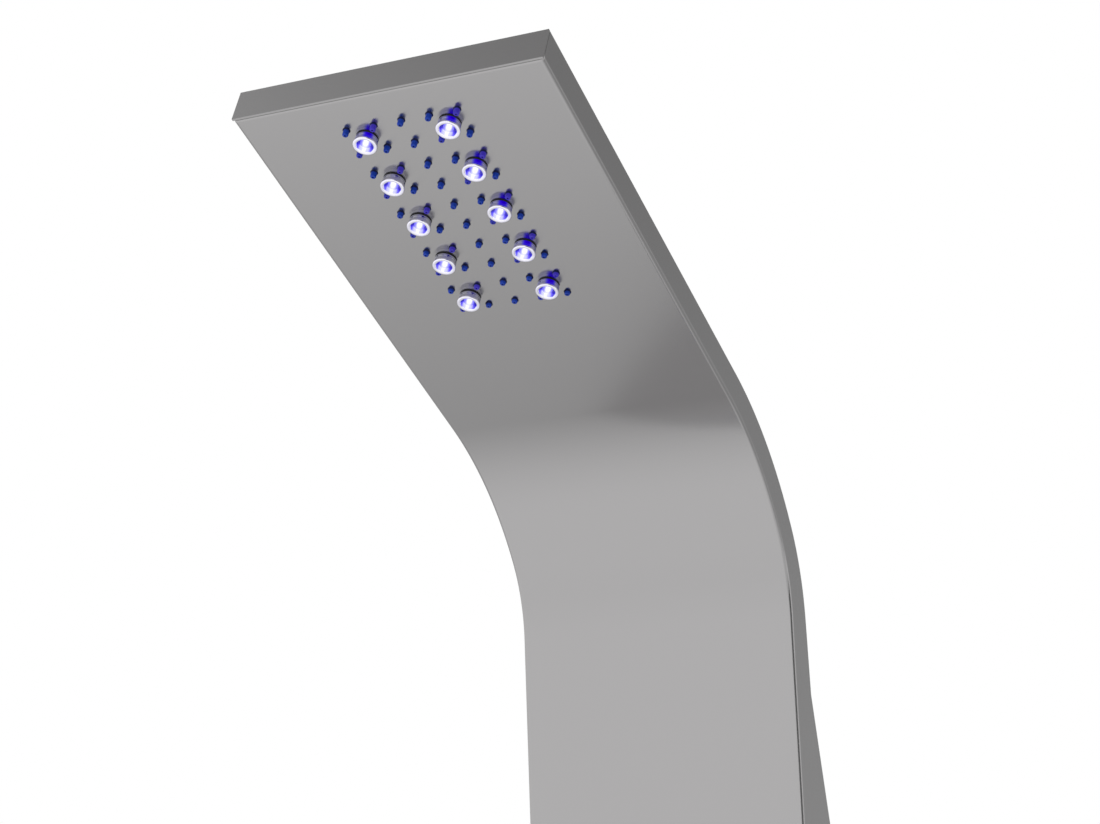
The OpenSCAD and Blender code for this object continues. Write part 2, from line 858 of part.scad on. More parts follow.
module jet_link_hose() {
    straight_hose(-jet_hose_x, port_d, -jet_lower_z + jet_half, -jet_upper_z - jet_half);
}

module hand_feed_hose() {
    straight_hose(hand_x, hand_depth, hand_low, hand_high);
}

// Clip section: a block on the sheet with the hose's bore
module clip_section(x, depth, d) {
    difference() {
        translate([x - d / 2 - clip_wall, sheet_t])
            square([d + 2 * clip_wall, depth + d / 2 + clip_wall - sheet_t]);
        translate([x, depth]) circle(d / 2 + running);
    }
}

module hose_clips() {
    lines = [[hose_x, head_hose_depth, hose_d], [cable_x, cable_depth, cable_d]];
    color([0.85, 0.85, 0.82]) for (l = lines) {
        along_head(head_len - 2 * clip_len, head_len - clip_len) clip_section(l[0], l[1], l[2]);
        along_column(column_rise - 2 * clip_len, column_rise - clip_len) clip_section(l[0], l[1], l[2]);
    }
}

module hose_clamp() {
    tube(0, clamp_h, hose_d / 2 + clamp_t, hose_d / 2 + running);
}

module hose_clamps() {
    color([0.78, 0.78, 0.78]) {
        for (z = [riser_low + over, riser_high - clamp_h - over, generator_top + over])
            on_riser(z) hose_clamp();
        for (z = [jet_feed_low, -jet_lower_z + jet_half])
            translate([-jet_hose_x, front_y + port_d, z + over]) hose_clamp();
        for (z = [-jet_lower_z - jet_half, -jet_upper_z - jet_half])
            translate([-jet_hose_x, front_y + port_d, z - clamp_h - over]) hose_clamp();
        for (z = [hand_low + over, hand_high - clamp_h - over])
            translate([hand_x, front_y + hand_depth, z]) hose_clamp();
        on_head() translate([hose_x, chamber_end + over, head_hose_depth]) rotate([-90, 0, 0]) hose_clamp();
    }
}

// Valve body
module beam_x(z, depth, from, to, r) {
    translate([0, front_y + depth, z]) rotate([0, 90, 0]) rod(from, to, r);
}

module post_z(x, depth, from, to, r) {
    translate([x, front_y + depth, 0]) rod(from, to, r);
}

inlet_low = -thermostat_z - inlet_len;

module valve_body_solid() {
    for (z = [diverter_z, thermostat_z]) on_column(-z) {
        rod(sheet_t, valve_back, valve_r);
        rod(-collar_out, sheet_t, collar_r);
    }
    translate([-web_w / 2, front_y + web_front, -thermostat_z])
        cube([web_w, web_back - web_front, thermostat_z - diverter_z]);
    beam_x(-thermostat_z, inlet_depth, -inlet_x, inlet_x, inlet_r);
    for (side = [-1, 1]) post_z(side * inlet_x, inlet_depth, inlet_low, -thermostat_z + inlet_r, inlet_r);
    post_z(hose_x, riser_depth, -diverter_z, riser_low, outlet_r);
    post_z(hose_x, riser_depth, riser_low, riser_low + barb_len, barb_d / 2);
    beam_x(-diverter_z, port_d, -jet_hose_x, 0, jet_way_r);
    post_z(-jet_hose_x, port_d, -diverter_z - jet_way_r, jet_feed_low, jet_way_r);
    post_z(-jet_hose_x, port_d, jet_feed_low, jet_feed_low + barb_len, barb_d / 2);
    beam_x(-diverter_z, hand_depth, 0, hand_x, outlet_r);
    post_z(hand_x, hand_depth, hand_high, -diverter_z + outlet_r, outlet_r);
    post_z(hand_x, hand_depth, hand_high - barb_len, hand_high, barb_d / 2);
}

module valve_body() {
    bore_r = barb_bore_d / 2;
    color([0.78, 0.62, 0.32]) difference() {
        valve_body_solid();
        for (z = [diverter_z, thermostat_z])
            on_column(-z) rod(-collar_out - over, cartridge_d, cartridge_r + running);
        for (side = [-1, 1]) {
            translate([0, 0, inlet_low])
                post_z(side * inlet_x, inlet_depth, -over, nipple_grip, nipple_r + running);
            post_z(side * inlet_x, inlet_depth, inlet_low, -thermostat_z, nipple_bore_r);
        }
        beam_x(-thermostat_z, inlet_depth, -inlet_x, inlet_x, nipple_bore_r);
        post_z(0, web_front + (web_back - web_front) / 2, -thermostat_z, -diverter_z, nipple_bore_r);
        post_z(hose_x, riser_depth, -diverter_z, riser_low + barb_len + over, bore_r);
        beam_x(-diverter_z, port_d, -jet_hose_x, 0, bore_r);
        post_z(-jet_hose_x, port_d, -diverter_z, jet_feed_low + barb_len + over, bore_r);
        beam_x(-diverter_z, hand_depth, 0, hand_x, bore_r);
        post_z(hand_x, hand_depth, hand_high - barb_len - over, -diverter_z, bore_r);
    }
}

module inlet_nipple(side) {
    top = inlet_low;
    color([0.8, 0.65, 0.35]) translate([side * inlet_x, front_y + inlet_depth, 0]) difference() {
        union() {
            rod(top, top + nipple_grip, nipple_r);
            hex(top - nipple_hex_h, top, nipple_hex_d);
            rod(top - nipple_hex_h - thread_len, top - nipple_hex_h, thread_d / 2);
        }
        rod(top - nipple_hex_h - thread_len - over, top + nipple_grip + over, nipple_bore_r);
    }
}

module check_valves() {
    low = inlet_low;
    color([0.2, 0.4, 0.7]) for (side = [-1, 1]) translate([side * inlet_x, front_y + inlet_depth, 0])
        tube(low - check_h / 2, low + check_h / 2, nipple_bore_r - running, nipple_bore_r / 2);
}

module hand_outlet_nipple() {
    top = hand_low + barb_len;
    color([0.82, 0.82, 0.84]) translate([hand_x, front_y + hand_depth, 0]) difference() {
        union() {
            rod(hand_low, top, barb_d / 2);
            hex(outlet_nut_z, hand_low, nipple_hex_d);
            rod(hand_thread_top - thread_len, hand_thread_top, thread_d / 2);
            rod(hand_thread_top - over, outlet_nut_z, thread_d / 2 - relief_depth);
        }
        rod(hand_thread_top - thread_len - over, top + over, barb_bore_d / 2);
    }
}

// Valve trims, the same on both axes
module valve_cartridge(z) {
    color([0.9, 0.9, 0.88]) on_column(-z)
        difference() {
            rod(-collar_out, cartridge_d, cartridge_r);
            rod(-collar_out - over, spindle_depth + fit, spindle_r + running);
        }
}

module valve_spindle(z) {
    color([0.8, 0.7, 0.4]) on_column(-z) rod(-knob_out + knob_end_t + fit, spindle_depth, spindle_r);
}

module valve_escutcheon(z) {
    color([0.8, 0.8, 0.82]) on_column(-z) difference() {
        union() {
            rod(-escutcheon_t / 2, 0, escutcheon_r);
            translate([0, 0, -escutcheon_t])
                cylinder(h = escutcheon_t / 2, r1 = escutcheon_r - escutcheon_t / 2, r2 = escutcheon_r);
        }
        rod(-escutcheon_t - over, over, collar_r + fit);
    }
}

bonnet_r = collar_r + fit + bonnet_wall;
bonnet_top = collar_out + fit + bonnet_t;

module valve_bonnet(z) {
    color([0.8, 0.66, 0.36]) on_column(-z) difference() {
        rod(-bonnet_top, -escutcheon_t - fit, bonnet_r);
        rod(-collar_out - fit, 0, collar_r + fit);
        rod(-bonnet_top - over, 0, spindle_r + 2 * fit);
    }
}

module lever(r) {
    translate([-lever_w / 2, 0, -knob_out]) cube([lever_w, r + lever_reach, lever_t]);
    translate([0, r + lever_reach, 0]) rod(-knob_out, -knob_out + lever_t, lever_w / 2);
}

module valve_knob(z, with_button) {
    low = escutcheon_t + knob_gap;
    r = knob_d / 2;
    color([0.82, 0.82, 0.84]) on_column(-z) difference() {
        union() {
            difference() {
                union() {
                    rod(-knob_out, -low, r);
                    lever(r);
                }
                rod(-knob_out + knob_end_t, 0, r - knob_wall);
            }
            rod(-knob_out + knob_end_t / 2, -bonnet_top - hub_gap, hub_r);
        }
        rod(-knob_out + knob_end_t, 0, spindle_r + running / 2);
        if (with_button) translate([0, 0, -button_z]) rotate([90, 0, 0]) rod(0, knob_d, button_r + running);
    }
}

module thermostat_button() {
    wall_in = knob_d / 2 - knob_wall;
    color([0.8, 0.12, 0.1]) on_column(-thermostat_z) translate([0, 0, -button_z]) rotate([90, 0, 0]) {
        rod(wall_in - over, knob_d / 2 + button_proud, button_r);
        rod(wall_in - over - button_flange_t, wall_in - over, button_flange_r);
    }
}

// Handset holder, on the right flange; the pivot runs along X
module holder_place() {
    translate([panel_w / 2, -panel_d * holder_share, -holder_z]) children();
}

cradle_r = socket_d / 2 + cradle_wall;
cradle_x = holder_base_size.x + fit + cradle_neck + cradle_r;
hub_out_r = stub_r + cradle_wall;
hub_end = cradle_x - cradle_r + cradle_wall / 2;

module holder_base() {
    color([0.8, 0.8, 0.82]) holder_place() {
        translate([0, -holder_base_size.y / 2, -holder_base_size.z / 2]) cube(holder_base_size);
        rotate([0, 90, 0]) rod(holder_base_size.x, holder_base_size.x + fit + cradle_neck - fit, stub_r);
        rotate([0, 90, 0]) rod(-sheet_t - stub_head_t, 0, cleat_screw_d / 2);
        rotate([0, 90, 0]) rod(-sheet_t - stub_head_t, -sheet_t, stub_head_r / 2);
    }
}

module holder_cradle() {
    color([0.82, 0.82, 0.84]) holder_place() difference() {
        union() {
            translate([cradle_x, 0, 0]) rod(-socket_h / 2, socket_h / 2, cradle_r);
            rotate([0, 90, 0]) rod(holder_base_size.x + fit, hub_end, hub_out_r);
        }
        rotate([0, 90, 0]) rod(0, holder_base_size.x + fit + cradle_neck, stub_r + running);
        translate([cradle_x, 0, 0]) rod(-socket_h, socket_h, socket_d / 2);
        translate([cradle_x - slot_w / 2, -2 * cradle_r, -socket_h])
            cube([slot_w, 2 * cradle_r, 2 * socket_h]);
    }
}

front_panel();
tip_end_plate();
back_cover();
cover_cleats();
cover_screws();
bottom_plate();
hanger(0);  // hanger_upper
hanger(-bracket_gap);  // hanger_lower
wall_bracket(0);  // wall_bracket_upper
wall_bracket(-bracket_gap);  // wall_bracket_lower
rain_chamber();
rain_mat();
rain_studs();
rain_nuts();
led_bezels();
led_seals();
led_lenses();
led_reflectors();
led_emitters();
led_nuts();
led_board();
jet_chamber(jet_upper_z, false);  // jet_chamber_upper
jet_mat(jet_upper_z);  // jet_mat_upper
jet_chamber(jet_lower_z, true);  // jet_chamber_lower
jet_mat(jet_lower_z);  // jet_mat_lower
jet_studs();
jet_nuts();
generator_housing();
generator_cap();
generator_rotor();
generator_shaft();
generator_stator();
generator_cable();
led_driver();
led_cable();
riser_hose();
head_hose();
jet_feed_hose();
jet_link_hose();
hand_feed_hose();
hose_clips();
hose_clamps();
valve_body();
inlet_nipple(-1);  // hot_inlet_nipple
inlet_nipple(1);  // cold_inlet_nipple
check_valves();
hand_outlet_nipple();
valve_cartridge(thermostat_z);  // thermostat_cartridge
valve_spindle(thermostat_z);  // thermostat_spindle
valve_escutcheon(thermostat_z);  // thermostat_escutcheon
valve_bonnet(thermostat_z);  // thermostat_bonnet
valve_knob(thermostat_z, true);  // thermostat_knob
thermostat_button();
valve_cartridge(diverter_z);  // diverter_cartridge
valve_spindle(diverter_z);  // diverter_spindle
valve_escutcheon(diverter_z);  // diverter_escutcheon
valve_bonnet(diverter_z);  // diverter_bonnet
valve_knob(diverter_z, false);  // diverter_knob
holder_base();
holder_cradle();
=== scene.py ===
import math
import bpy
import bmesh
from mathutils import Matrix, Vector


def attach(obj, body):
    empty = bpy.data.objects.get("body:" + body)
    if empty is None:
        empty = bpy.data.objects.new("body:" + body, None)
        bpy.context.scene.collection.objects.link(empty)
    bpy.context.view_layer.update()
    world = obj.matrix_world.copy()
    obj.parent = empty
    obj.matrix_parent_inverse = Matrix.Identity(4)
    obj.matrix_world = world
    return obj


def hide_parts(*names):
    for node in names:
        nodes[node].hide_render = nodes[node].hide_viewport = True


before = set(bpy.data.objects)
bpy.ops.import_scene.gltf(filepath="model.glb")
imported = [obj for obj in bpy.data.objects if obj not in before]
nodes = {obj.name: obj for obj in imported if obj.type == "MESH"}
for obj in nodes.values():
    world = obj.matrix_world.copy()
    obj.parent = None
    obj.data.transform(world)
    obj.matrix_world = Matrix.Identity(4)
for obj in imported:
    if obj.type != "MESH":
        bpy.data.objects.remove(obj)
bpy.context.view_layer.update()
MM = 0.001

# Sizes of the CAD part, in millimetres
PANEL_W, PANEL_D, SHEET, FOLD = 200.0, 62.0, 1.5, 2.6
RISE, DROP = 240.0, 788.0
TILT, HEAD_LEN, HEAD_D, SHOULDER_D = 27.0, 305.0, 22.0, 28.0
R_UP, R_LOW = 220.0, 100.0
FLANK_D, FLANK_Z, WALL_Z = 30.5, 190.0, 82.0
PITCH, FIELD_EDGE = 18.0, 25.0
COLS, RAIN_ROWS, JET_ROWS, LIGHT_ROWS = 5, 10, 4, 5
JETS = (-90.0, -270.0)
VALVES = (-470.0, -590.0)
HOLDER_Z = -370.0


# Side view of the panel's front line: places are (y, z)

def unit(angle):
    return Vector((math.cos(angle), math.sin(angle)))


HEAD_ANGLE = math.radians(TILT)
HALF_TURN = math.radians(90 - TILT) / 2
LOW_CENTRE = Vector((-PANEL_D - R_LOW, RISE))
UP_CENTRE = LOW_CENTRE + (R_LOW - R_UP) * unit(HALF_TURN)
JOIN = UP_CENTRE + R_UP * unit(2 * HALF_TURN)
HEAD_ALONG = Vector((-math.cos(HEAD_ANGLE), math.sin(HEAD_ANGLE)))
HEAD_IN = Vector((math.sin(HEAD_ANGLE), math.cos(HEAD_ANGLE)))
TIP = JOIN + HEAD_LEN * HEAD_ALONG
FIELD = (Matrix.Translation((0, TIP.x * MM, TIP.y * MM)) @ Matrix.Rotation(-HEAD_ANGLE, 4, "X")
         @ Matrix.Scale(MM, 4) @ Matrix.Translation((0, FIELD_EDGE, 0)))


def column_matrix(z):
    """A frame on the column's front at height z: x across, y down, z into the panel."""
    return (Matrix.Translation((0, -PANEL_D * MM, z * MM)) @ Matrix.Rotation(-math.pi / 2, 4, "X")
            @ Matrix.Scale(MM, 4))


def jet_matrix(z):
    return column_matrix(z) @ Matrix.Translation((0, -(JET_ROWS - 1) / 2 * PITCH, 0))


# Materials

NOISE_SCALE, NOISE_DETAIL = 10.0, 4.0
LEAST_ROUGH = 0.02


def material(name, color, metallic=0.0, rough=0.5, grain=60, bump=0.1, depth=0.0002, vary=0.06,
             rough_vary=0.08, sockets=None):
    """A material whose colour, roughness and bump follow one fine noise, stretched by its grain."""
    made = bpy.data.materials.new(name)
    made.use_nodes = True
    tree = made.node_tree
    shader = tree.nodes["Principled BSDF"]
    shader.inputs["Metallic"].default_value = metallic
    for socket, value in (sockets or {}).items():
        shader.inputs[socket].default_value = value
    place = tree.nodes.new("ShaderNodeTexCoord")
    stretch = tree.nodes.new("ShaderNodeMapping")
    stretch.inputs["Scale"].default_value = grain if isinstance(grain, tuple) else (grain, grain, grain)
    noise = tree.nodes.new("ShaderNodeTexNoise")
    noise.inputs["Scale"].default_value = NOISE_SCALE
    noise.inputs["Detail"].default_value = NOISE_DETAIL
    tree.links.new(place.outputs["Object"], stretch.inputs["Vector"])
    tree.links.new(stretch.outputs["Vector"], noise.inputs["Vector"])
    ramp = tree.nodes.new("ShaderNodeValToRGB")
    for element, share in zip(ramp.color_ramp.elements, (1 - vary, 1 + vary)):
        element.color = tuple(min(1, c * share) for c in color) + (1,)
    tree.links.new(noise.outputs["Fac"], ramp.inputs["Fac"])
    tree.links.new(ramp.outputs["Color"], shader.inputs["Base Color"])
    gloss = tree.nodes.new("ShaderNodeMapRange")
    gloss.inputs["To Min"].default_value = max(LEAST_ROUGH, rough - rough_vary)
    gloss.inputs["To Max"].default_value = rough + rough_vary
    tree.links.new(noise.outputs["Fac"], gloss.inputs["Value"])
    tree.links.new(gloss.outputs["Result"], shader.inputs["Roughness"])
    relief = tree.nodes.new("ShaderNodeBump")
    relief.inputs["Strength"].default_value = bump
    relief.inputs["Distance"].default_value = depth
    tree.links.new(noise.outputs["Fac"], relief.inputs["Height"])
    tree.links.new(relief.outputs["Normal"], shader.inputs["Normal"])
    return made


def metal(name, color, **looks):
    return material(name, color, metallic=1.0, **looks)


def brushed_along(made, layer):
    """Turns a material's anisotropic highlight along a UV layer."""
    tree = made.node_tree
    tangent = tree.nodes.new("ShaderNodeTangent")
    tangent.direction_type = "UV_MAP"
    tangent.uv_map = layer
    tree.links.new(tangent.outputs["Tangent"], tree.nodes["Principled BSDF"].inputs["Tangent"])


def paint_glow_and_light(made, stops, strength, share=None):
    """Paints glow and light into a material's colour and emission by the mesh's stored glow and painted
    light. share is how much of the colour this gives. Without a share, the stored value itself is the share
    and also scales the painted light."""
    tree = made.node_tree
    shader = tree.nodes["Principled BSDF"]
    glow_and_painted_light_value = tree.nodes.new("ShaderNodeAttribute")
    glow_and_painted_light_value.attribute_name = "glow_and_painted_light"
    ramp = tree.nodes.new("ShaderNodeValToRGB")
    while len(ramp.color_ramp.elements) < len(stops):
        ramp.color_ramp.elements.new(0.5)
    for element, (place, color) in zip(ramp.color_ramp.elements, stops):
        element.position = place
        element.color = color + (1,)
    tree.links.new(glow_and_painted_light_value.outputs["Fac"], ramp.inputs["Fac"])
    mix = tree.nodes.new("ShaderNodeMix")
    mix.data_type = "RGBA"
    tree.links.new(shader.inputs["Base Color"].links[0].from_socket, mix.inputs["A"])
    tree.links.new(ramp.outputs["Color"], mix.inputs["B"])
    tree.links.new(mix.outputs["Result"], shader.inputs["Base Color"])
    tree.links.new(ramp.outputs["Color"], shader.inputs["Emission Color"])
    if share is None:
        tree.links.new(glow_and_painted_light_value.outputs["Fac"], mix.inputs["Factor"])
        power = maths(tree, "MULTIPLY", glow_and_painted_light_value.outputs["Fac"], strength)
        tree.links.new(power, shader.inputs["Emission Strength"])
    else:
        mix.inputs["Factor"].default_value = share
        shader.inputs["Emission Strength"].default_value = strength


def maths(tree, operation, a, b):
    node = tree.nodes.new("ShaderNodeMath")
    node.operation = operation
    for socket, value in zip(node.inputs, (a, b)):
        if isinstance(value, float):
            socket.default_value = value
        else:
            tree.links.new(value, socket)
    return node.outputs["Value"]


def ease(tree, source, start, end, low, high):
    """A smooth step from low to high while the source goes from start to end."""
    node = tree.nodes.new("ShaderNodeMapRange")
    node.interpolation_type = "SMOOTHSTEP"
    for socket, value in (("From Min", start), ("From Max", end), ("To Min", low), ("To Max", high)):
        node.inputs[socket].default_value = value
    tree.links.new(source, node.inputs["Value"])
    return node.outputs["Result"]


STEEL_COLOR = (0.392, 0.386, 0.388)
CHROME_COLOR = (0.62, 0.63, 0.65)
BRUSHED = {"bump": 0.02, "depth": 0.00004, "vary": 0.015, "rough_vary": 0.012}
SOFT_SHEEN = {"Specular IOR Level": 0.3}
STEEL = metal("panel_steel", STEEL_COLOR, rough=0.25, grain=(4, 260, 260), **BRUSHED)
PANEL_STEEL = metal("brushed_steel", STEEL_COLOR, rough=0.20, grain=(260, 3, 3), **BRUSHED,
                    sockets={"Anisotropic": 0.85})
brushed_along(PANEL_STEEL, "length")
COVER_STEEL = metal("cover_steel", (0.36, 0.36, 0.36), rough=0.38, grain=(200, 4, 4), bump=0.06,
                    depth=0.00005, vary=0.03, rough_vary=0.04)
ZINC = metal("zinc", CHROME_COLOR, rough=0.38, grain=30, bump=0.15, vary=0.1, rough_vary=0.1)
SCREW = metal("screw_steel", (0.62, 0.62, 0.63), rough=0.26, grain=90, depth=0.0001)
CHROME = metal("chrome", CHROME_COLOR, rough=0.09, grain=30, bump=0.02, depth=0.0001, vary=0.03,
               rough_vary=0.03)
BRASS = metal("brass", (0.72, 0.52, 0.25), rough=0.32, grain=40, bump=0.2, depth=0.0003, vary=0.08)
COPPER = metal("copper_winding", (0.5, 0.2, 0.07), rough=0.35, grain=(5, 5, 600), bump=0.5, depth=0.0003)
# Painted glow: the face ring's lilac-white colour and faint emission stand in for the light's glare on a
# polished bezel.
RING = metal("ring_painted_glow", (0.84, 0.83, 0.92), rough=0.16, bump=0.02,
             sockets={"Emission Color": (0.80, 0.76, 1.0, 1), "Emission Strength": 0.05})
BARREL = metal("bezel_chrome", (0.52, 0.52, 0.56), rough=0.12, grain=20, bump=0.02, depth=0.0001,
               vary=0.02, rough_vary=0.02)
POM = material("white_acetal", (0.78, 0.78, 0.75), rough=0.45, grain=50)
NYLON = material("black_nylon", (0.03, 0.03, 0.035), grain=80, bump=0.15)
SILICONE = material("blue_silicone", (0.006, 0.055, 0.50), rough=0.36, grain=120, bump=0.12,
                    depth=0.0001, vary=0.1, rough_vary=0.05, sockets=SOFT_SHEEN)
# Painted shade: a dark navy for the nozzles' feet and bores and for the mat seen through the holes.
SHADE = material("silicone_painted_shade", (0.003, 0.008, 0.09), rough=0.45, grain=120, depth=0.0001,
                 vary=0.1, rough_vary=0.05, sockets=SOFT_SHEEN)
RUBBER = material("black_rubber", (0.02, 0.02, 0.02), rough=0.6, grain=90, bump=0.2)
HOSE = material("grey_hose", (0.5, 0.52, 0.54), grain=(200, 200, 30), bump=0.3, depth=0.0003)
BOARD = material("green_board", (0.03, 0.2, 0.08), rough=0.4)
RED = material("red_gloss", (0.6, 0.03, 0.02), rough=0.2, bump=0.02)
ACETAL_BLUE = material("blue_acetal", (0.06, 0.2, 0.5), rough=0.4)
# LED glass: the emitters glow as the lamp; on the bulbs, reflector dishes and recesses the colour and
# emission also carry a painted highlight and painted reflection.
LIT = material("glass_glow_and_painted_reflection", (0.05, 0.05, 0.12), rough=0.12, bump=0.02, depth=0.0001, vary=0.05,
               rough_vary=0.05)
paint_glow_and_light(LIT, ((0.0, (0.012, 0.004, 0.30)), (0.35, (0.10, 0.07, 0.75)), (0.6, (0.44, 0.44, 0.98)),
              (1.0, (0.98, 0.98, 1.0))), 1.1, 0.35)
# Painted reflection: a blue patch in the barrels' colour and emission stands in for the blue nozzles and
# light they reflect.
paint_glow_and_light(BARREL, ((0.0, (0.02, 0.005, 0.55)), (1.0, (0.02, 0.0, 0.62))), 0.55)
# Painted light: nozzles beside a light get blue colour and emission for the light they catch from it.
paint_glow_and_light(SILICONE, ((0.0, (0.03, 0.01, 0.4)), (1.0, (0.04, 0.025, 0.42))), 0.28)

FINISHES = (
    (STEEL, ("front_panel", "tip_end_plate", "bottom_plate")),
    (COVER_STEEL, ("back_cover",)),
    (ZINC, ("cover_cleats", "hanger_upper", "hanger_lower", "wall_bracket_upper", "wall_bracket_lower")),
    (SCREW, ("cover_screws", "rain_studs", "rain_nuts", "jet_studs", "jet_nuts", "generator_shaft",
             "hose_clamps")),
    (CHROME, ("led_bezels", "hand_outlet_nipple", "thermostat_escutcheon", "thermostat_knob",
              "diverter_escutcheon", "diverter_knob", "holder_base", "holder_cradle")),
    (BRASS, ("valve_body", "hot_inlet_nipple", "cold_inlet_nipple", "thermostat_spindle",
             "thermostat_bonnet", "diverter_spindle", "diverter_bonnet")),
    (COPPER, ("generator_stator",)),
    (POM, ("rain_chamber", "jet_chamber_upper", "jet_chamber_lower", "generator_rotor", "hose_clips",
           "thermostat_cartridge", "diverter_cartridge")),
    (NYLON, ("led_nuts", "generator_housing", "generator_cap", "led_driver")),
    (SILICONE, ("rain_mat", "jet_mat_upper", "jet_mat_lower")),
    (RUBBER, ("led_seals", "generator_cable", "led_cable")),
    (HOSE, ("riser_hose", "head_hose", "jet_feed_hose", "jet_link_hose", "hand_feed_hose")),
    (LIT, ("led_lenses", "led_reflectors", "led_emitters")),
    (BOARD, ("led_board",)),
    (RED, ("thermostat_button",)),
    (ACETAL_BLUE, ("check_valves",)),
)
for finish, names in FINISHES:
    for name in names:
        nodes[name].data.materials.clear()
        nodes[name].data.materials.append(finish)

# Radii of the small edge rounding on the pieces that show
EDGE_STEPS, EDGE_ANGLE = 3, math.radians(40)
ROUNDED = {"tip_end_plate": 0.35, "bottom_plate": 0.4, "thermostat_escutcheon": 0.6,
           "diverter_escutcheon": 0.6, "holder_base": 1.2, "holder_cradle": 0.9,
           "wall_bracket_upper": 0.4, "wall_bracket_lower": 0.4, "hanger_upper": 0.4,
           "hanger_lower": 0.4, "led_driver": 0.8, "hand_outlet_nipple": 0.4, "cover_screws": 0.3}
for name, radius in ROUNDED.items():
    edge = nodes[name].modifiers.new("edge", "BEVEL")
    edge.width = radius * MM
    edge.segments = EDGE_STEPS
    edge.limit_method = "ANGLE"
    edge.angle_limit = EDGE_ANGLE
    edge.use_clamp_overlap = True


# Mesh helpers. A store is three lists: points, faces and the material number of each face

SAME_PLACE = 1e-7
HOLE_SEGMENTS = 28
PANEL_SHARP, PIECE_SHARP = 30, 35


def add(name, store, finishes, body, matrix, sharp=PIECE_SHARP):
    """A new piece from a store, which rides on a body of the frame."""
    mesh = bpy.data.meshes.new(name)
    mesh.from_pydata([matrix @ Vector(v) for v in store[0]], [], store[1])
    for finish in finishes:
        mesh.materials.append(finish)
    for face, number in zip(mesh.polygons, store[2]):
        face.material_index = number
    shape = bmesh.new()
    shape.from_mesh(mesh)
    bmesh.ops.recalc_face_normals(shape, faces=shape.faces)
    shape.to_mesh(mesh)
    shape.free()
    shade(mesh, sharp)
    piece = bpy.data.objects.new(name, mesh)
    bpy.context.scene.collection.objects.link(piece)
    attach(piece, body)
    return piece


def shade(mesh, sharp):
    """Smooth shading with hard edges where faces meet at more than sharp degrees."""
    mesh.shade_smooth()
    mesh.set_sharp_from_angle(angle=math.radians(sharp))


def stand_for(node):
    """Hides a CAD node whose place a finer piece takes."""
    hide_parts(node)


def lathe(profile, segments, place, store, paints=None):
    """Adds a turned shape. profile is [(radius, z)], place maps a point, and paints has the material
    number of each band of faces."""
    points, faces, numbers = store
    rings = []
    for radius, z in profile:
        if radius == 0:
            rings.append([len(points)])
            points.append(place(Vector((0, 0, z))))
            continue
        rings.append(list(range(len(points), len(points) + segments)))
        for i in range(segments):
            angle = 2 * math.pi * i / segments
            points.append(place(Vector((radius * math.cos(angle), radius * math.sin(angle), z))))
    for band, (a, b) in enumerate(zip(rings, rings[1:])):
        if len(a) == 1 and len(b) == 1:
            continue
        for i in range(segments):
            j = (i + 1) % segments
            if len(a) == 1:
                faces.append((a[0], b[i], b[j]))
            elif len(b) == 1:
                faces.append((a[i], a[j], b[0]))
            else:
                faces.append((a[i], a[j], b[j], b[i]))
            numbers.append(paints[band] if paints else 0)


def skin(rings, faces):
    """Faces between each closed ring of points and the next."""
    count = len(rings[0])
    for a, b in zip(rings, rings[1:]):
        for i in range(count):
            j = (i + 1) % count
            faces.append((a[i], a[j], b[j], b[i]))


def weld(mesh, other=None):
    """Joins doubled points, and takes in a second mesh if there is one."""
    shape = bmesh.new()
    shape.from_mesh(mesh)
    if other:
        shape.from_mesh(other)
    bmesh.ops.remove_doubles(shape, verts=shape.verts, dist=SAME_PLACE)
    bmesh.ops.recalc_face_normals(shape, faces=shape.faces)
    shape.to_mesh(mesh)
    shape.free()


def bore(piece, holes, sharp):
    """Cuts plain rods out of a piece: [(matrix, x, y, radius, low, high)]."""
    store = ([], [], [])
    for matrix, x, y, radius, low, high in holes:
        lathe([(0, low), (radius, low), (radius, high), (0, high)], HOLE_SEGMENTS,
              lambda p, matrix=matrix, x=x, y=y: matrix @ Vector((p.x + x, p.y + y, p.z)), store)
    rods_mesh = bpy.data.meshes.new("rods")
    rods_mesh.from_pydata(store[0], [], store[1])
    weld(rods_mesh)
    rods = bpy.data.objects.new("rods", rods_mesh)
    bpy.context.scene.collection.objects.link(rods)
    cut = piece.modifiers.new("holes", "BOOLEAN")
    cut.operation = "DIFFERENCE"
    cut.object = rods
    cut.solver = "EXACT"
    bpy.context.view_layer.update()
    evaluated = piece.evaluated_get(bpy.context.evaluated_depsgraph_get())
    done = bpy.data.meshes.new_from_object(evaluated)
    piece.modifiers.clear()
    piece.data = done
    bpy.data.objects.remove(rods)
    shade(piece.data, sharp)


def glow_and_painted_light(piece, values):
    """Stores one value per point of glow and painted light for the materials that glow."""
    layer = piece.data.attributes.new("glow_and_painted_light", "FLOAT", "POINT")
    layer.data.foreach_set("value", values)


def smooth(start, end, value):
    """A smooth step from 0 to 1."""
    t = min(1, max(0, (value - start) / (end - start)))
    return t * t * (3 - 2 * t)


def quarter(steps):
    """Angles from zero to a right angle."""
    return [math.pi / 2 * k / steps for k in range(steps + 1)]


def moved(x, y):
    """A place function for lathe that moves points sideways."""
    return lambda p: Vector((p.x + x, p.y + y, p.z))


def nozzle_places(rows):
    return [((i - (COLS - 1) / 2) * PITCH, j * PITCH) for j in range(rows) for i in range(COLS)]


def light_places():
    return [(side * 1.5 * PITCH, (2 * k + 0.5) * PITCH) for k in range(LIGHT_ROWS) for side in (-1, 1)]


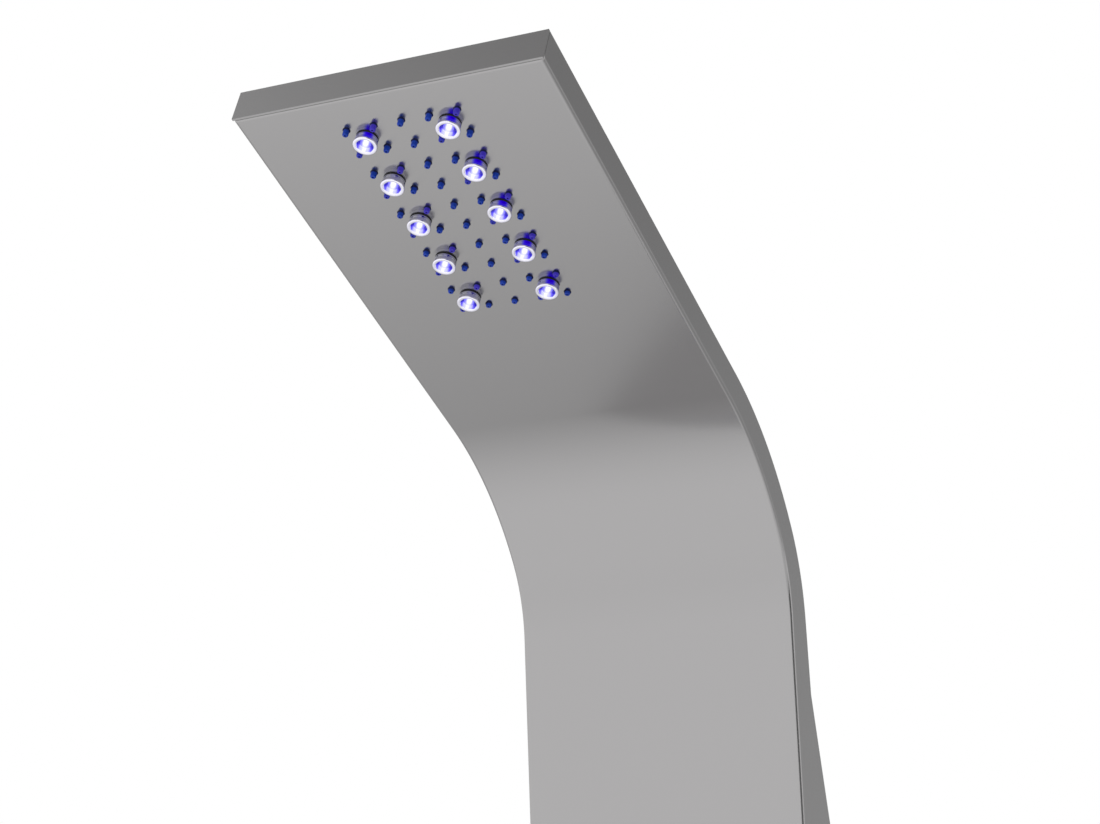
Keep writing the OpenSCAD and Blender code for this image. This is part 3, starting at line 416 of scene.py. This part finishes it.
# Panel: one closed loft of the folded sheet, with a rounded free end at the tip
FOLD_STEPS, BEND_STEPS, TIP_STEPS = 6, 40, 4
TIP_R, TIP_GAP = 1.4, 0.25
FLANK_NEAR, WALL_NEAR = 6.0, 3.0
HEAD_STATIONS = (30, 80, 140, 200, 260, HEAD_LEN)
COLUMN_STATIONS = (230, FLANK_Z + FLANK_NEAR, FLANK_Z, FLANK_Z - FLANK_NEAR, 150, 120,
                   WALL_Z + WALL_NEAR, WALL_Z, WALL_Z - WALL_NEAR, 0, -200, -400, -600, -DROP)
NOZZLE_HOLE_R, LIGHT_HOLE_R, VALVE_HOLE_R, PIVOT_HOLE_R = 2.4, 6.0, 18.2, 2.2
HOLE_FROM, HOLE_TO = -5, 6
PIVOT_FROM, PIVOT_TO = -3, 4
EDGE_BAND = 8.0


def frame_at(kind, place):
    """The front line's point and inward direction, and the flange's depth there."""
    if kind == "head":
        return TIP - place * HEAD_ALONG, HEAD_IN, HEAD_D
    if kind == "bend":
        centre, radius = (LOW_CENTRE, R_LOW) if place < HALF_TURN else (UP_CENTRE, R_UP)
        depth = SHOULDER_D + (HEAD_D - SHOULDER_D) * place / (2 * HALF_TURN)
        return centre + radius * unit(place), unit(place), depth
    if place >= FLANK_Z:
        depth = FLANK_D + (SHOULDER_D - FLANK_D) * (place - FLANK_Z) / (RISE - FLANK_Z)
    elif place >= WALL_Z:
        depth = FLANK_D + (PANEL_D - FLANK_D) * (FLANK_Z - place) / (FLANK_Z - WALL_Z)
    else:
        depth = PANEL_D
    return Vector((-PANEL_D, place)), Vector((1, 0)), depth


def section(depth, lift):
    """Closed outline of the sheet, [(x, depth)]: the outside, then back along the inside. A lift
    moves the front back while the free edges stay."""
    def side(offset, radius):
        x = offset - PANEL_W / 2
        points = [(x, depth), (x, depth / 2 + SHEET)]
        for a in quarter(FOLD_STEPS):
            points.append((x + radius * (1 - math.cos(a)), offset + radius * (1 - math.sin(a))))
        return [(px, depth - (depth - d) * (depth - lift) / depth) for px, d in points]

    outside = side(0, FOLD)
    inside = side(SHEET, FOLD - SHEET)
    return (outside + [(-x, d) for x, d in reversed(outside)] + [(-x, d) for x, d in inside]
            + inside[::-1])


def build_panel():
    stations = [("head", SHEET + TIP_GAP + TIP_R * (1 - math.cos(a)), TIP_R * (1 - math.sin(a)))
                for a in quarter(TIP_STEPS)]
    stations += [("head", place, 0) for place in HEAD_STATIONS]
    stations += [("bend", 2 * HALF_TURN * (1 - k / BEND_STEPS), 0) for k in range(1, BEND_STEPS + 1)]
    stations += [("column", place, 0) for place in COLUMN_STATIONS]
    points, faces, rings = [], [], []
    for kind, place, lift in stations:
        origin, inward, depth = frame_at(kind, place)
        outline = section(depth, lift)
        rings.append(range(len(points), len(points) + len(outline)))
        for x, d in outline:
            side_point = origin + inward * d
            points.append((x, side_point.x, side_point.y))
    skin(rings, faces)
    count = len(rings[0])
    for ring in (rings[0], rings[-1]):
        for i in range(count // 2 - 1):
            k = count - 1 - i
            faces.append((ring[i], ring[i + 1], ring[k - 1], ring[k]))
    return add("panel_sheet", (points, faces, []), [PANEL_STEEL], "panel", Matrix.Scale(MM, 4),
               PANEL_SHARP)


def panel_holes():
    holes = [(FIELD, x, y, NOZZLE_HOLE_R, HOLE_FROM, HOLE_TO) for x, y in nozzle_places(RAIN_ROWS)]
    holes += [(FIELD, x, y, LIGHT_HOLE_R, HOLE_FROM, HOLE_TO) for x, y in light_places()]
    holes += [(jet_matrix(z), x, y, NOZZLE_HOLE_R, HOLE_FROM, HOLE_TO)
              for z in JETS for x, y in nozzle_places(JET_ROWS)]
    pivot = (Matrix.Scale(MM, 4) @ Matrix.Translation((PANEL_W / 2, -PANEL_D / 2, HOLDER_Z))
             @ Matrix.Rotation(-math.pi / 2, 4, "Y"))
    holes.append((pivot, 0, 0, PIVOT_HOLE_R, PIVOT_FROM, PIVOT_TO))
    holes += [(column_matrix(z), 0, 0, VALVE_HOLE_R, HOLE_FROM, HOLE_TO) for z in VALVES]
    return holes


def unrolled(place):
    """Length along the front line and depth behind it, for a point of the side view."""
    if place.y < RISE:
        return place.y, place.x + PANEL_D
    bend_length = (R_LOW + R_UP) * HALF_TURN
    past = (place - JOIN).dot(HEAD_ALONG)
    if past > 0:
        return RISE + bend_length + past, (place - JOIN).dot(HEAD_IN)
    spoke = place - LOW_CENTRE
    angle = math.atan2(spoke.y, spoke.x)
    if angle < HALF_TURN:
        return RISE + R_LOW * angle, spoke.length - R_LOW
    spoke = place - UP_CENTRE
    angle = math.atan2(spoke.y, spoke.x)
    return RISE + R_LOW * HALF_TURN + R_UP * (angle - HALF_TURN), spoke.length - R_UP


def unroll(piece):
    """UV layer "length": u across the unfolded sheet, v along it."""
    layer = piece.data.uv_layers.new(name="length")
    for loop in piece.data.loops:
        place = piece.data.vertices[loop.vertex_index].co / MM
        length, depth = unrolled(Vector((place.y, place.z)))
        on_flange = smooth(PANEL_W / 2 - EDGE_BAND, PANEL_W / 2 - FOLD, abs(place.x))
        across = place.x + math.copysign(depth, place.x) * on_flange
        layer.data[loop.index].uv = (across / PANEL_W, length / PANEL_W)


panel = build_panel()
bore(panel, panel_holes(), PANEL_SHARP)
unroll(panel)
weighted = panel.modifiers.new("weighted", "WEIGHTED_NORMAL")
weighted.keep_sharp = True
weighted.weight = 100
stand_for("front_panel")

# Nozzles: tapered tips with a bore, on one mat with its plate behind the sheet. Feet, bores and the plate
# are in painted shade
FOOT_R, SHANK_R, TAPER_R, BORE_R, BORE_END_R = 2.18, 1.86, 1.82, 0.55, 0.46
BORE_DEEP, NOZZLE_SEGMENTS = 1.4, 24
MAT_EDGE, MAT_FRONT, MAT_BACK = 12.0, 1.55, 3.5
# Painted light spill on the nozzles beside a light: amount for the one above it and the one below it, and
# how near counts.
PAINTED_SPILL_ABOVE, PAINTED_SPILL_BELOW, NEAR_MM = 1.0, 0.5, 1.0
BOX_FACES = ((0, 1, 2, 3), (7, 6, 5, 4), (0, 4, 5, 1), (1, 5, 6, 2), (2, 6, 7, 3), (3, 7, 4, 0))


def nozzle_profile(height):
    foot = [(FOOT_R, 1.0), (FOOT_R, -0.45), (2.08, -0.7), (SHANK_R, -0.8)]
    tip = [(TAPER_R, 1.1), (1.78, 0.7), (1.62, 0.35), (1.36, 0.12), (1.0, 0.02)]
    hole = [(BORE_R, 0), (0.5, 0.2), (BORE_END_R, BORE_DEEP), (0, BORE_DEEP)]
    return foot + [(radius, up - height) for radius, up in tip + hole]


# Material number of each band: 1 puts painted shade on the foot and in the bore
NOZZLE_PAINTS = [1] * 3 + [0] * 7 + [1] * 2


def painted_light_spill(x, y, lights):
    """How much painted light a nozzle gets: those at two corners of a light are painted with its blue."""
    gaps = [(x - lx, y - ly) for lx, ly in lights]
    if any(math.hypot(gx - PITCH / 2, gy + PITCH / 2) < NEAR_MM for gx, gy in gaps):
        return PAINTED_SPILL_ABOVE
    if any(math.hypot(gx + PITCH / 2, gy - PITCH / 2) < NEAR_MM for gx, gy in gaps):
        return PAINTED_SPILL_BELOW
    return 0.0


def nozzles(name, node, matrix, rows, first, last, lights):
    """A mat whose nozzles stand first millimetres proud in the first row and last in the last."""
    store = ([], [], [])
    glow = []
    for x, y in nozzle_places(rows):
        start = len(store[0])
        height = first + (last - first) * y / ((rows - 1) * PITCH)
        lathe(nozzle_profile(height), NOZZLE_SEGMENTS, moved(x, y), store, NOZZLE_PAINTS)
        glow += [painted_light_spill(x, y, lights)] * (len(store[0]) - start)
    side = (COLS - 1) * PITCH / 2 + MAT_EDGE
    low, high = -MAT_EDGE, (rows - 1) * PITCH + MAT_EDGE
    corners = ((-side, low), (side, low), (side, high), (-side, high))
    start = len(store[0])
    store[0].extend(Vector((x, y, z)) for z in (MAT_FRONT, MAT_BACK) for x, y in corners)
    store[1].extend(tuple(start + i for i in face) for face in BOX_FACES)
    # The mat plate seen through the holes is in painted shade
    store[2].extend([1] * len(BOX_FACES))
    glow += [0.0] * (len(store[0]) - start)
    mat = add(name, store, [SILICONE, SHADE], "panel", matrix)
    glow_and_painted_light(mat, glow)
    stand_for(node)


TIP_PROUD, BEND_PROUD = 4.4, 2.4
nozzles("rain_nozzles", "rain_mat", FIELD, RAIN_ROWS, TIP_PROUD, BEND_PROUD, light_places())
nozzles("jet_nozzles_upper", "jet_mat_upper", jet_matrix(JETS[0]), JET_ROWS, TIP_PROUD, TIP_PROUD, [])
nozzles("jet_nozzles_lower", "jet_mat_lower", jet_matrix(JETS[1]), JET_ROWS, TIP_PROUD, TIP_PROUD, [])

# Lights: chrome barrel with a groove, face ring with a painted glow, blue dish and a domed bulb, with
# painted reflections and highlights
# The painted reflections and highlights of the lights are brightest along this fixed axis
PAINTED_REFLECTION_AXIS = math.radians(-52)
STEM_R, BARREL_R, GROOVE_R, BEZEL_R, RECESS_R, BORE_IN_R = 5.8, 6.8, 6.7, 7.35, 5.11, 4.0
BEZEL_PROUD, BARREL_END, RECESS_Z, STEM_Z = 6.4, -5.0, -2.0, 16.4
BULB_R, BULB_Z, BULB_STEPS = 3.2, -3.6, 10
DISH_IN_R, DISH_OUT_R = 3.18, 5.05
BEZEL_SEGMENTS, BULB_SEGMENTS = 48, 36
MARGIN = 0.1

# Glow, painted reflection and painted highlight of the lights' parts: amounts, and the spans over which
# they rise
RECESS_REFLECTION, RECESS_SPAN = 0.62, (0.45, 0.95)
RECESS_END_HIGHLIGHT, RECESS_END_SPAN = 0.2, (0.96, 1.0)
BARREL_REFLECTION, BARREL_SPAN, BARREL_LEAST_REFLECTION, FAINT_REFLECTION = 0.8, (0.84, 0.98), 0.2, 0.2
DISH_REFLECTION, DISH_SPAN = 0.75, (0.5, 0.95)
BULB_GLOW, BULB_HIGHLIGHT, BAND_HALF_MM = 0.42, 0.58, (0.5, 2.6)
BAND_MIDDLE, BAND_END, BAND_LENGTH_MM = 0.55, 0.45, (0.4, 2.2)


def light_part(name, node, profile, segments, finishes, glow, paints=None):
    """Ten turned shapes in one piece. glow gives a point's glow and painted light from its height, its
    distances along and across the fixed axis of the painted reflections, and its light's place."""
    store = ([], [], [])
    values = []
    for x, y in light_places():
        start = len(store[0])
        lathe(profile, segments, moved(x, y), store, paints)
        for point in store[0][start:]:
            dx, dy = point.x - x, point.y - y
            along = dx * math.cos(PAINTED_REFLECTION_AXIS) + dy * math.sin(PAINTED_REFLECTION_AXIS)
            across = dy * math.cos(PAINTED_REFLECTION_AXIS) - dx * math.sin(PAINTED_REFLECTION_AXIS)
            values.append(glow(point.z, along, across, x, y))
    piece = add(name, store, finishes, "panel", FIELD)
    glow_and_painted_light(piece, values)
    stand_for(node)


def bezel_painted_reflection(z, along, across, x, y):
    """Painted reflection: blue inside the recess, and a blue patch on the barrel's two sides."""
    radius = math.hypot(along, across)
    share = abs(along) / radius
    if z < RECESS_Z + MARGIN and radius < RECESS_R + MARGIN:
        return (RECESS_REFLECTION * smooth(*RECESS_SPAN, share)
                + RECESS_END_HIGHLIGHT * smooth(*RECESS_END_SPAN, share))
    if radius > STEM_R + MARGIN and z > BARREL_END - MARGIN:
        # Barrels of the left lights past the first row get only a faint painted reflection
        power = 1.0 if x > 0 or y < PITCH else FAINT_REFLECTION
        return power * (BARREL_LEAST_REFLECTION + BARREL_REFLECTION * smooth(*BARREL_SPAN, share))
    return 0.0


def bulb_glow_and_painted_highlight(z, along, across, x, y):
    """The bulb's glow with a painted highlight: a bright band along the axis, brightest at its ends."""
    band = 1 - smooth(*BAND_HALF_MM, abs(across))
    lengthwise = BAND_MIDDLE + BAND_END * smooth(*BAND_LENGTH_MM, abs(along))
    return BULB_GLOW + BULB_HIGHLIGHT * band * lengthwise


# Painted reflection on the dish: blue to lilac, brightest along the fixed axis
def dish_painted_reflection(z, along, across, x, y):
    return DISH_REFLECTION * smooth(*DISH_SPAN, abs(along) / math.hypot(along, across))


barrel = [(STEM_R, STEM_Z), (STEM_R, -0.8), (6.45, -0.8), (6.75, -1.05), (BARREL_R, -1.4), (BARREL_R, -2.6),
          (6.76, -2.66), (GROOVE_R, -2.7), (GROOVE_R, -3.1), (6.76, -3.14), (BARREL_R, -3.2),
          (BARREL_R, BARREL_END)]
rim = [(6.9, -5.15), (7.2, -5.25), (7.33, -5.45), (BEZEL_R, -5.75), (7.3, -6.05), (7.1, -6.3),
       (6.8, -BEZEL_PROUD), (5.6, -6.34), (5.25, -6.2), (RECESS_R, -5.9)]
recess = [(RECESS_R, -4.0), (RECESS_R, RECESS_Z)]
stem_bore = [(BORE_IN_R, RECESS_Z), (BORE_IN_R, STEM_Z), (STEM_R, STEM_Z)]
bezel_paints = [0] * len(barrel) + [1] * (len(rim) - 1) + [2] * len(recess) + [0] * len(stem_bore)
light_part("light_bezels", "led_bezels", barrel + rim + recess + stem_bore, BEZEL_SEGMENTS,
           [BARREL, RING, LIT], bezel_painted_reflection, bezel_paints)

dome = [(BULB_R * math.cos(a), BULB_Z - BULB_R * math.sin(a)) for a in quarter(BULB_STEPS)[:-1]]
bulb = [(0, -2.05), (3.05, -2.05), (3.1, -3.4)] + dome + [(0, BULB_Z - BULB_R)]
light_part("light_bulbs", "led_lenses", bulb, BULB_SEGMENTS, [LIT], bulb_glow_and_painted_highlight)

dish = [(DISH_IN_R, RECESS_Z), (DISH_IN_R, -2.5), (3.5, -2.65), (4.3, -2.95), (4.9, -3.2),
        (DISH_OUT_R, -3.2), (DISH_OUT_R, RECESS_Z), (DISH_IN_R, RECESS_Z)]
light_part("light_dishes", "led_reflectors", dish, BEZEL_SEGMENTS, [LIT], dish_painted_reflection)

# Lever knobs: turned cap with a rounded rim, a fine groove and a shallow face, and a soft-edged lever
KNOB_R, KNOB_FOOT, KNOB_END = 24.0, 5.8, 42.0
KNOB_WALL, KNOB_CAP = 2.6, 4.0
HUB_R, HUB_BORE, HUB_FOOT = 9.0, 5.1, 16.2
LEVER_W, LEVER_T, LEVER_TIP, LEVER_SUNK, LEVER_ROOT = 9.0, 9.0, 48.5, 0.2, 2.5
RIM_R, RIM_STEPS, SOFT_R, SOFT_STEPS, ROUND_STEPS = 2.6, 8, 1.6, 4, 12
FOOT_BEVEL, GROOVE_UP, GROOVE_W, GROOVE_SIDE, GROOVE_DEEP = 0.5, 4.0, 1.2, 0.3, 0.4
FACE_LINE, FACE_DEEP = ((1.4, 0.0), (1.9, 0.35), (2.6, 0.45)), 0.3
CAP_SEGMENTS, HUB_SEGMENTS = 96, 48
BUTTON_AT, BUTTON_HOLE_R, BUTTON_FROM, BUTTON_TO = -30.0, 4.08, 18.0, 26.0


def cap_profile():
    inner = KNOB_R - KNOB_WALL
    groove = -KNOB_FOOT - GROOVE_UP
    foot = [(inner, -KNOB_FOOT), (KNOB_R - FOOT_BEVEL, -KNOB_FOOT), (KNOB_R, -KNOB_FOOT - FOOT_BEVEL),
            (KNOB_R, groove), (KNOB_R - GROOVE_DEEP, groove - GROOVE_SIDE),
            (KNOB_R - GROOVE_DEEP, groove - GROOVE_W + GROOVE_SIDE), (KNOB_R, groove - GROOVE_W)]
    edge = [(KNOB_R - RIM_R + RIM_R * math.cos(a), -KNOB_END + RIM_R - RIM_R * math.sin(a))
            for a in quarter(RIM_STEPS)]
    face = [(KNOB_R - RIM_R - inset, -KNOB_END + deep) for inset, deep in FACE_LINE]
    face.append((0, -KNOB_END + FACE_DEEP))
    inside = [(0, -KNOB_END + KNOB_CAP), (inner, -KNOB_END + KNOB_CAP), (inner, -KNOB_FOOT)]
    return foot + edge + face + inside


def lever_layers():
    """(inset, z) of the lever's outline from its front face to its back."""
    front = [(SOFT_R * (1 - math.cos(a)), -KNOB_END + LEVER_SUNK + SOFT_R * (1 - math.sin(a)))
             for a in reversed(quarter(SOFT_STEPS))]
    back = [(SOFT_R * (1 - math.cos(a)), -KNOB_END + LEVER_T - SOFT_R * (1 - math.sin(a)))
            for a in quarter(SOFT_STEPS)]
    return front + back


def hub_and_lever():
    """Points and faces of the hub inside the cap and of the lever."""
    store = ([], [], [])
    cap_back = -KNOB_END + KNOB_CAP
    lathe([(HUB_BORE, cap_back), (HUB_R, cap_back), (HUB_R, -HUB_FOOT), (HUB_BORE, -HUB_FOOT),
           (HUB_BORE, cap_back)], HUB_SEGMENTS, moved(0, 0), store)
    half = LEVER_W / 2
    centre = LEVER_TIP - half
    root = KNOB_R - LEVER_ROOT
    outline = [(half, root)]
    for k in range(ROUND_STEPS + 1):
        a = math.pi * k / ROUND_STEPS
        outline.append((half * math.cos(a), centre + half * math.sin(a)))
    outline.append((-half, root))
    rings = []
    for inset, z in lever_layers():
        share = (half - inset) / half
        rings.append(range(len(store[0]), len(store[0]) + len(outline)))
        for x, y in outline:
            store[0].append(Vector((x * share, centre + (y - centre) * share if y > centre else y, z)))
    skin(rings, store[1])
    store[1].append(tuple(rings[0]))
    store[1].append(tuple(reversed(rings[-1])))
    return store[0], store[1]


def knob(name, node, body, z, button):
    store = ([], [], [])
    lathe(cap_profile(), CAP_SEGMENTS, moved(0, 0), store)
    cap = add(name, store, [CHROME], body, column_matrix(z))
    weld(cap.data)
    if button:
        upward = (column_matrix(z) @ Matrix.Translation((0, 0, BUTTON_AT))
                  @ Matrix.Rotation(math.pi / 2, 4, "X"))
        bore(cap, [(upward, 0, 0, BUTTON_HOLE_R, BUTTON_FROM, BUTTON_TO)], PIECE_SHARP)
    points, faces = hub_and_lever()
    arm = bpy.data.meshes.new(name + "_arm")
    arm.from_pydata([column_matrix(z) @ point for point in points], [], faces)
    weld(cap.data, arm)
    shade(cap.data, PIECE_SHARP)
    stand_for(node)


knob("diverter_lever", "diverter_knob", "diverter", VALVES[0], False)
knob("thermostat_lever", "thermostat_knob", "thermostat", VALVES[1], True)

# Floor: pale paint. Glossy and clear surfaces see it as a pale glow that fades to the back and right
FLOOR_Z, FLOOR_SIDE, FLOOR_FRONT, FLOOR_BACK = -0.95, 6.0, -7.0, 3.0
FLOOR_WHITE, FLOOR_ROUGH = 0.9, 0.7
ROOM_LIGHT = 1.09
BACK_GLOW, RIGHT_GLOW = 0.60, 0.8


def floor_material():
    made = bpy.data.materials.new("floor")
    made.use_nodes = True
    tree = made.node_tree
    paint = tree.nodes["Principled BSDF"]
    paint.inputs["Base Color"].default_value = (FLOOR_WHITE, FLOOR_WHITE, FLOOR_WHITE, 1)
    paint.inputs["Roughness"].default_value = FLOOR_ROUGH
    place = tree.nodes.new("ShaderNodeTexCoord")
    split = tree.nodes.new("ShaderNodeSeparateXYZ")
    tree.links.new(place.outputs["Object"], split.inputs["Vector"])
    to_back = ease(tree, split.outputs["Y"], -0.5, 0.7, ROOM_LIGHT, BACK_GLOW)
    to_right = ease(tree, split.outputs["X"], 0.4, 0.9, 1.0, RIGHT_GLOW)
    glare = tree.nodes.new("ShaderNodeEmission")
    tree.links.new(maths(tree, "MULTIPLY", to_back, to_right), glare.inputs["Strength"])
    ray = tree.nodes.new("ShaderNodeLightPath")
    mirrored = maths(tree, "MAXIMUM", ray.outputs["Is Glossy Ray"], ray.outputs["Is Transmission Ray"])
    mix = tree.nodes.new("ShaderNodeMixShader")
    tree.links.new(mirrored, mix.inputs["Fac"])
    tree.links.new(paint.outputs["BSDF"], mix.inputs[1])
    tree.links.new(glare.outputs["Emission"], mix.inputs[2])
    tree.links.new(mix.outputs["Shader"], tree.nodes["Material Output"].inputs["Surface"])
    return made


floor_mesh = bpy.data.meshes.new("floor")
floor_mesh.from_pydata([(-FLOOR_SIDE, FLOOR_FRONT, FLOOR_Z), (FLOOR_SIDE, FLOOR_FRONT, FLOOR_Z),
                        (FLOOR_SIDE, FLOOR_BACK, FLOOR_Z), (-FLOOR_SIDE, FLOOR_BACK, FLOOR_Z)],
                       [], [(0, 1, 2, 3)])
floor_mesh.materials.append(floor_material())
floor = bpy.data.objects.new("floor", floor_mesh)
bpy.context.scene.collection.objects.link(floor)


# World: white to the camera. Its light falls off softly to the back, the top and the front right

BACK_LOSS, HIGH_LOSS, TOP_LOSS, RIGHT_LOSS, LEAST_LIGHT = 0.60, 0.2, 0.85, 0.95, 0.12


def build_world():
    """Spans are in the direction's own x, y and z, from -1 to 1."""
    world = bpy.data.worlds.new("studio")
    bpy.context.scene.world = world
    world.use_nodes = True
    tree = world.node_tree
    sky = tree.nodes["Background"]
    sky.inputs["Color"].default_value = (1, 1, 1, 1)
    place = tree.nodes.new("ShaderNodeTexCoord")
    split = tree.nodes.new("ShaderNodeSeparateXYZ")
    tree.links.new(place.outputs["Generated"], split.inputs["Vector"])
    x, y, z = (split.outputs[axis] for axis in "XYZ")
    back = ease(tree, y, 0.1, 0.95, 0.0, 1.0)
    high = ease(tree, z, 0.0, 0.42, 0.0, HIGH_LOSS)
    top = ease(tree, z, 0.6, 1.0, 0.0, TOP_LOSS)
    right_side = ease(tree, x, 0.35, 0.65, 0.0, RIGHT_LOSS)
    front_part = maths(tree, "SUBTRACT", 1.0, ease(tree, y, -0.35, 0.1, 0.0, 1.0))
    light = maths(tree, "SUBTRACT", ROOM_LIGHT, maths(tree, "MULTIPLY", back, BACK_LOSS))
    light = maths(tree, "SUBTRACT", light, maths(tree, "MULTIPLY", back, high))
    light = maths(tree, "SUBTRACT", light, top)
    light = maths(tree, "SUBTRACT", light, maths(tree, "MULTIPLY", right_side, front_part))
    light = maths(tree, "MAXIMUM", light, LEAST_LIGHT)
    ray = tree.nodes.new("ShaderNodeLightPath")
    mix = tree.nodes.new("ShaderNodeMix")
    tree.links.new(maths(tree, "MAXIMUM", ray.outputs["Is Camera Ray"], ray.outputs["Is Transmission Ray"]),
                   mix.inputs["Factor"])
    tree.links.new(light, mix.inputs["A"])
    mix.inputs["B"].default_value = 1.0
    tree.links.new(mix.outputs["Result"], sky.inputs["Strength"])


build_world()

# Lamp
LAMP_PLACE, LAMP_TARGET = Vector((0.8, 0.9, 2.8)), Vector((0, -0.1, -0.2))
LAMP_SIZE, LAMP_WATTS = 2.2, 16
lamp_data = bpy.data.lights.new("top_light", "AREA")
lamp_data.shape = "RECTANGLE"
lamp_data.size = LAMP_SIZE
lamp_data.size_y = LAMP_SIZE
lamp_data.energy = LAMP_WATTS
lamp = bpy.data.objects.new("top_light", lamp_data)
lamp.location = LAMP_PLACE
lamp.rotation_euler = (LAMP_TARGET - LAMP_PLACE).to_track_quat("-Z", "Y").to_euler()
bpy.context.scene.collection.objects.link(lamp)

# Camera, fitted to the photograph
YAW, LOOK_UP, ROLL = (math.radians(a) for a in (24.4573, 12.0343, -2.0008))
FOCAL_PIXELS, PHOTO_W, SENSOR_MM, FAR_CLIP = 2219.983, 1100, 36, 50
CAMERA_PLACE = Vector((0.571370, -1.478973, 0.069640))
look = Vector((-math.sin(YAW) * math.cos(LOOK_UP), math.cos(YAW) * math.cos(LOOK_UP), math.sin(LOOK_UP)))
level = Vector((math.cos(YAW), math.sin(YAW), 0))
upward = level.cross(look)
camera_x = math.cos(ROLL) * level + math.sin(ROLL) * upward
camera_y = -math.sin(ROLL) * level + math.cos(ROLL) * upward
camera_data = bpy.data.cameras.new("camera")
camera_data.sensor_width = SENSOR_MM
camera_data.lens = FOCAL_PIXELS / PHOTO_W * SENSOR_MM
camera_data.clip_end = FAR_CLIP
pose = Matrix.Identity(4)
for i in range(3):
    pose[i][0], pose[i][1], pose[i][2] = camera_x[i], camera_y[i], -look[i]
pose.translation = CAMERA_PLACE
camera = bpy.data.objects.new("camera", camera_data)
camera.matrix_world = pose
bpy.context.scene.collection.objects.link(camera)
bpy.context.scene.camera = camera
bpy.context.scene.view_settings.view_transform = "Standard"
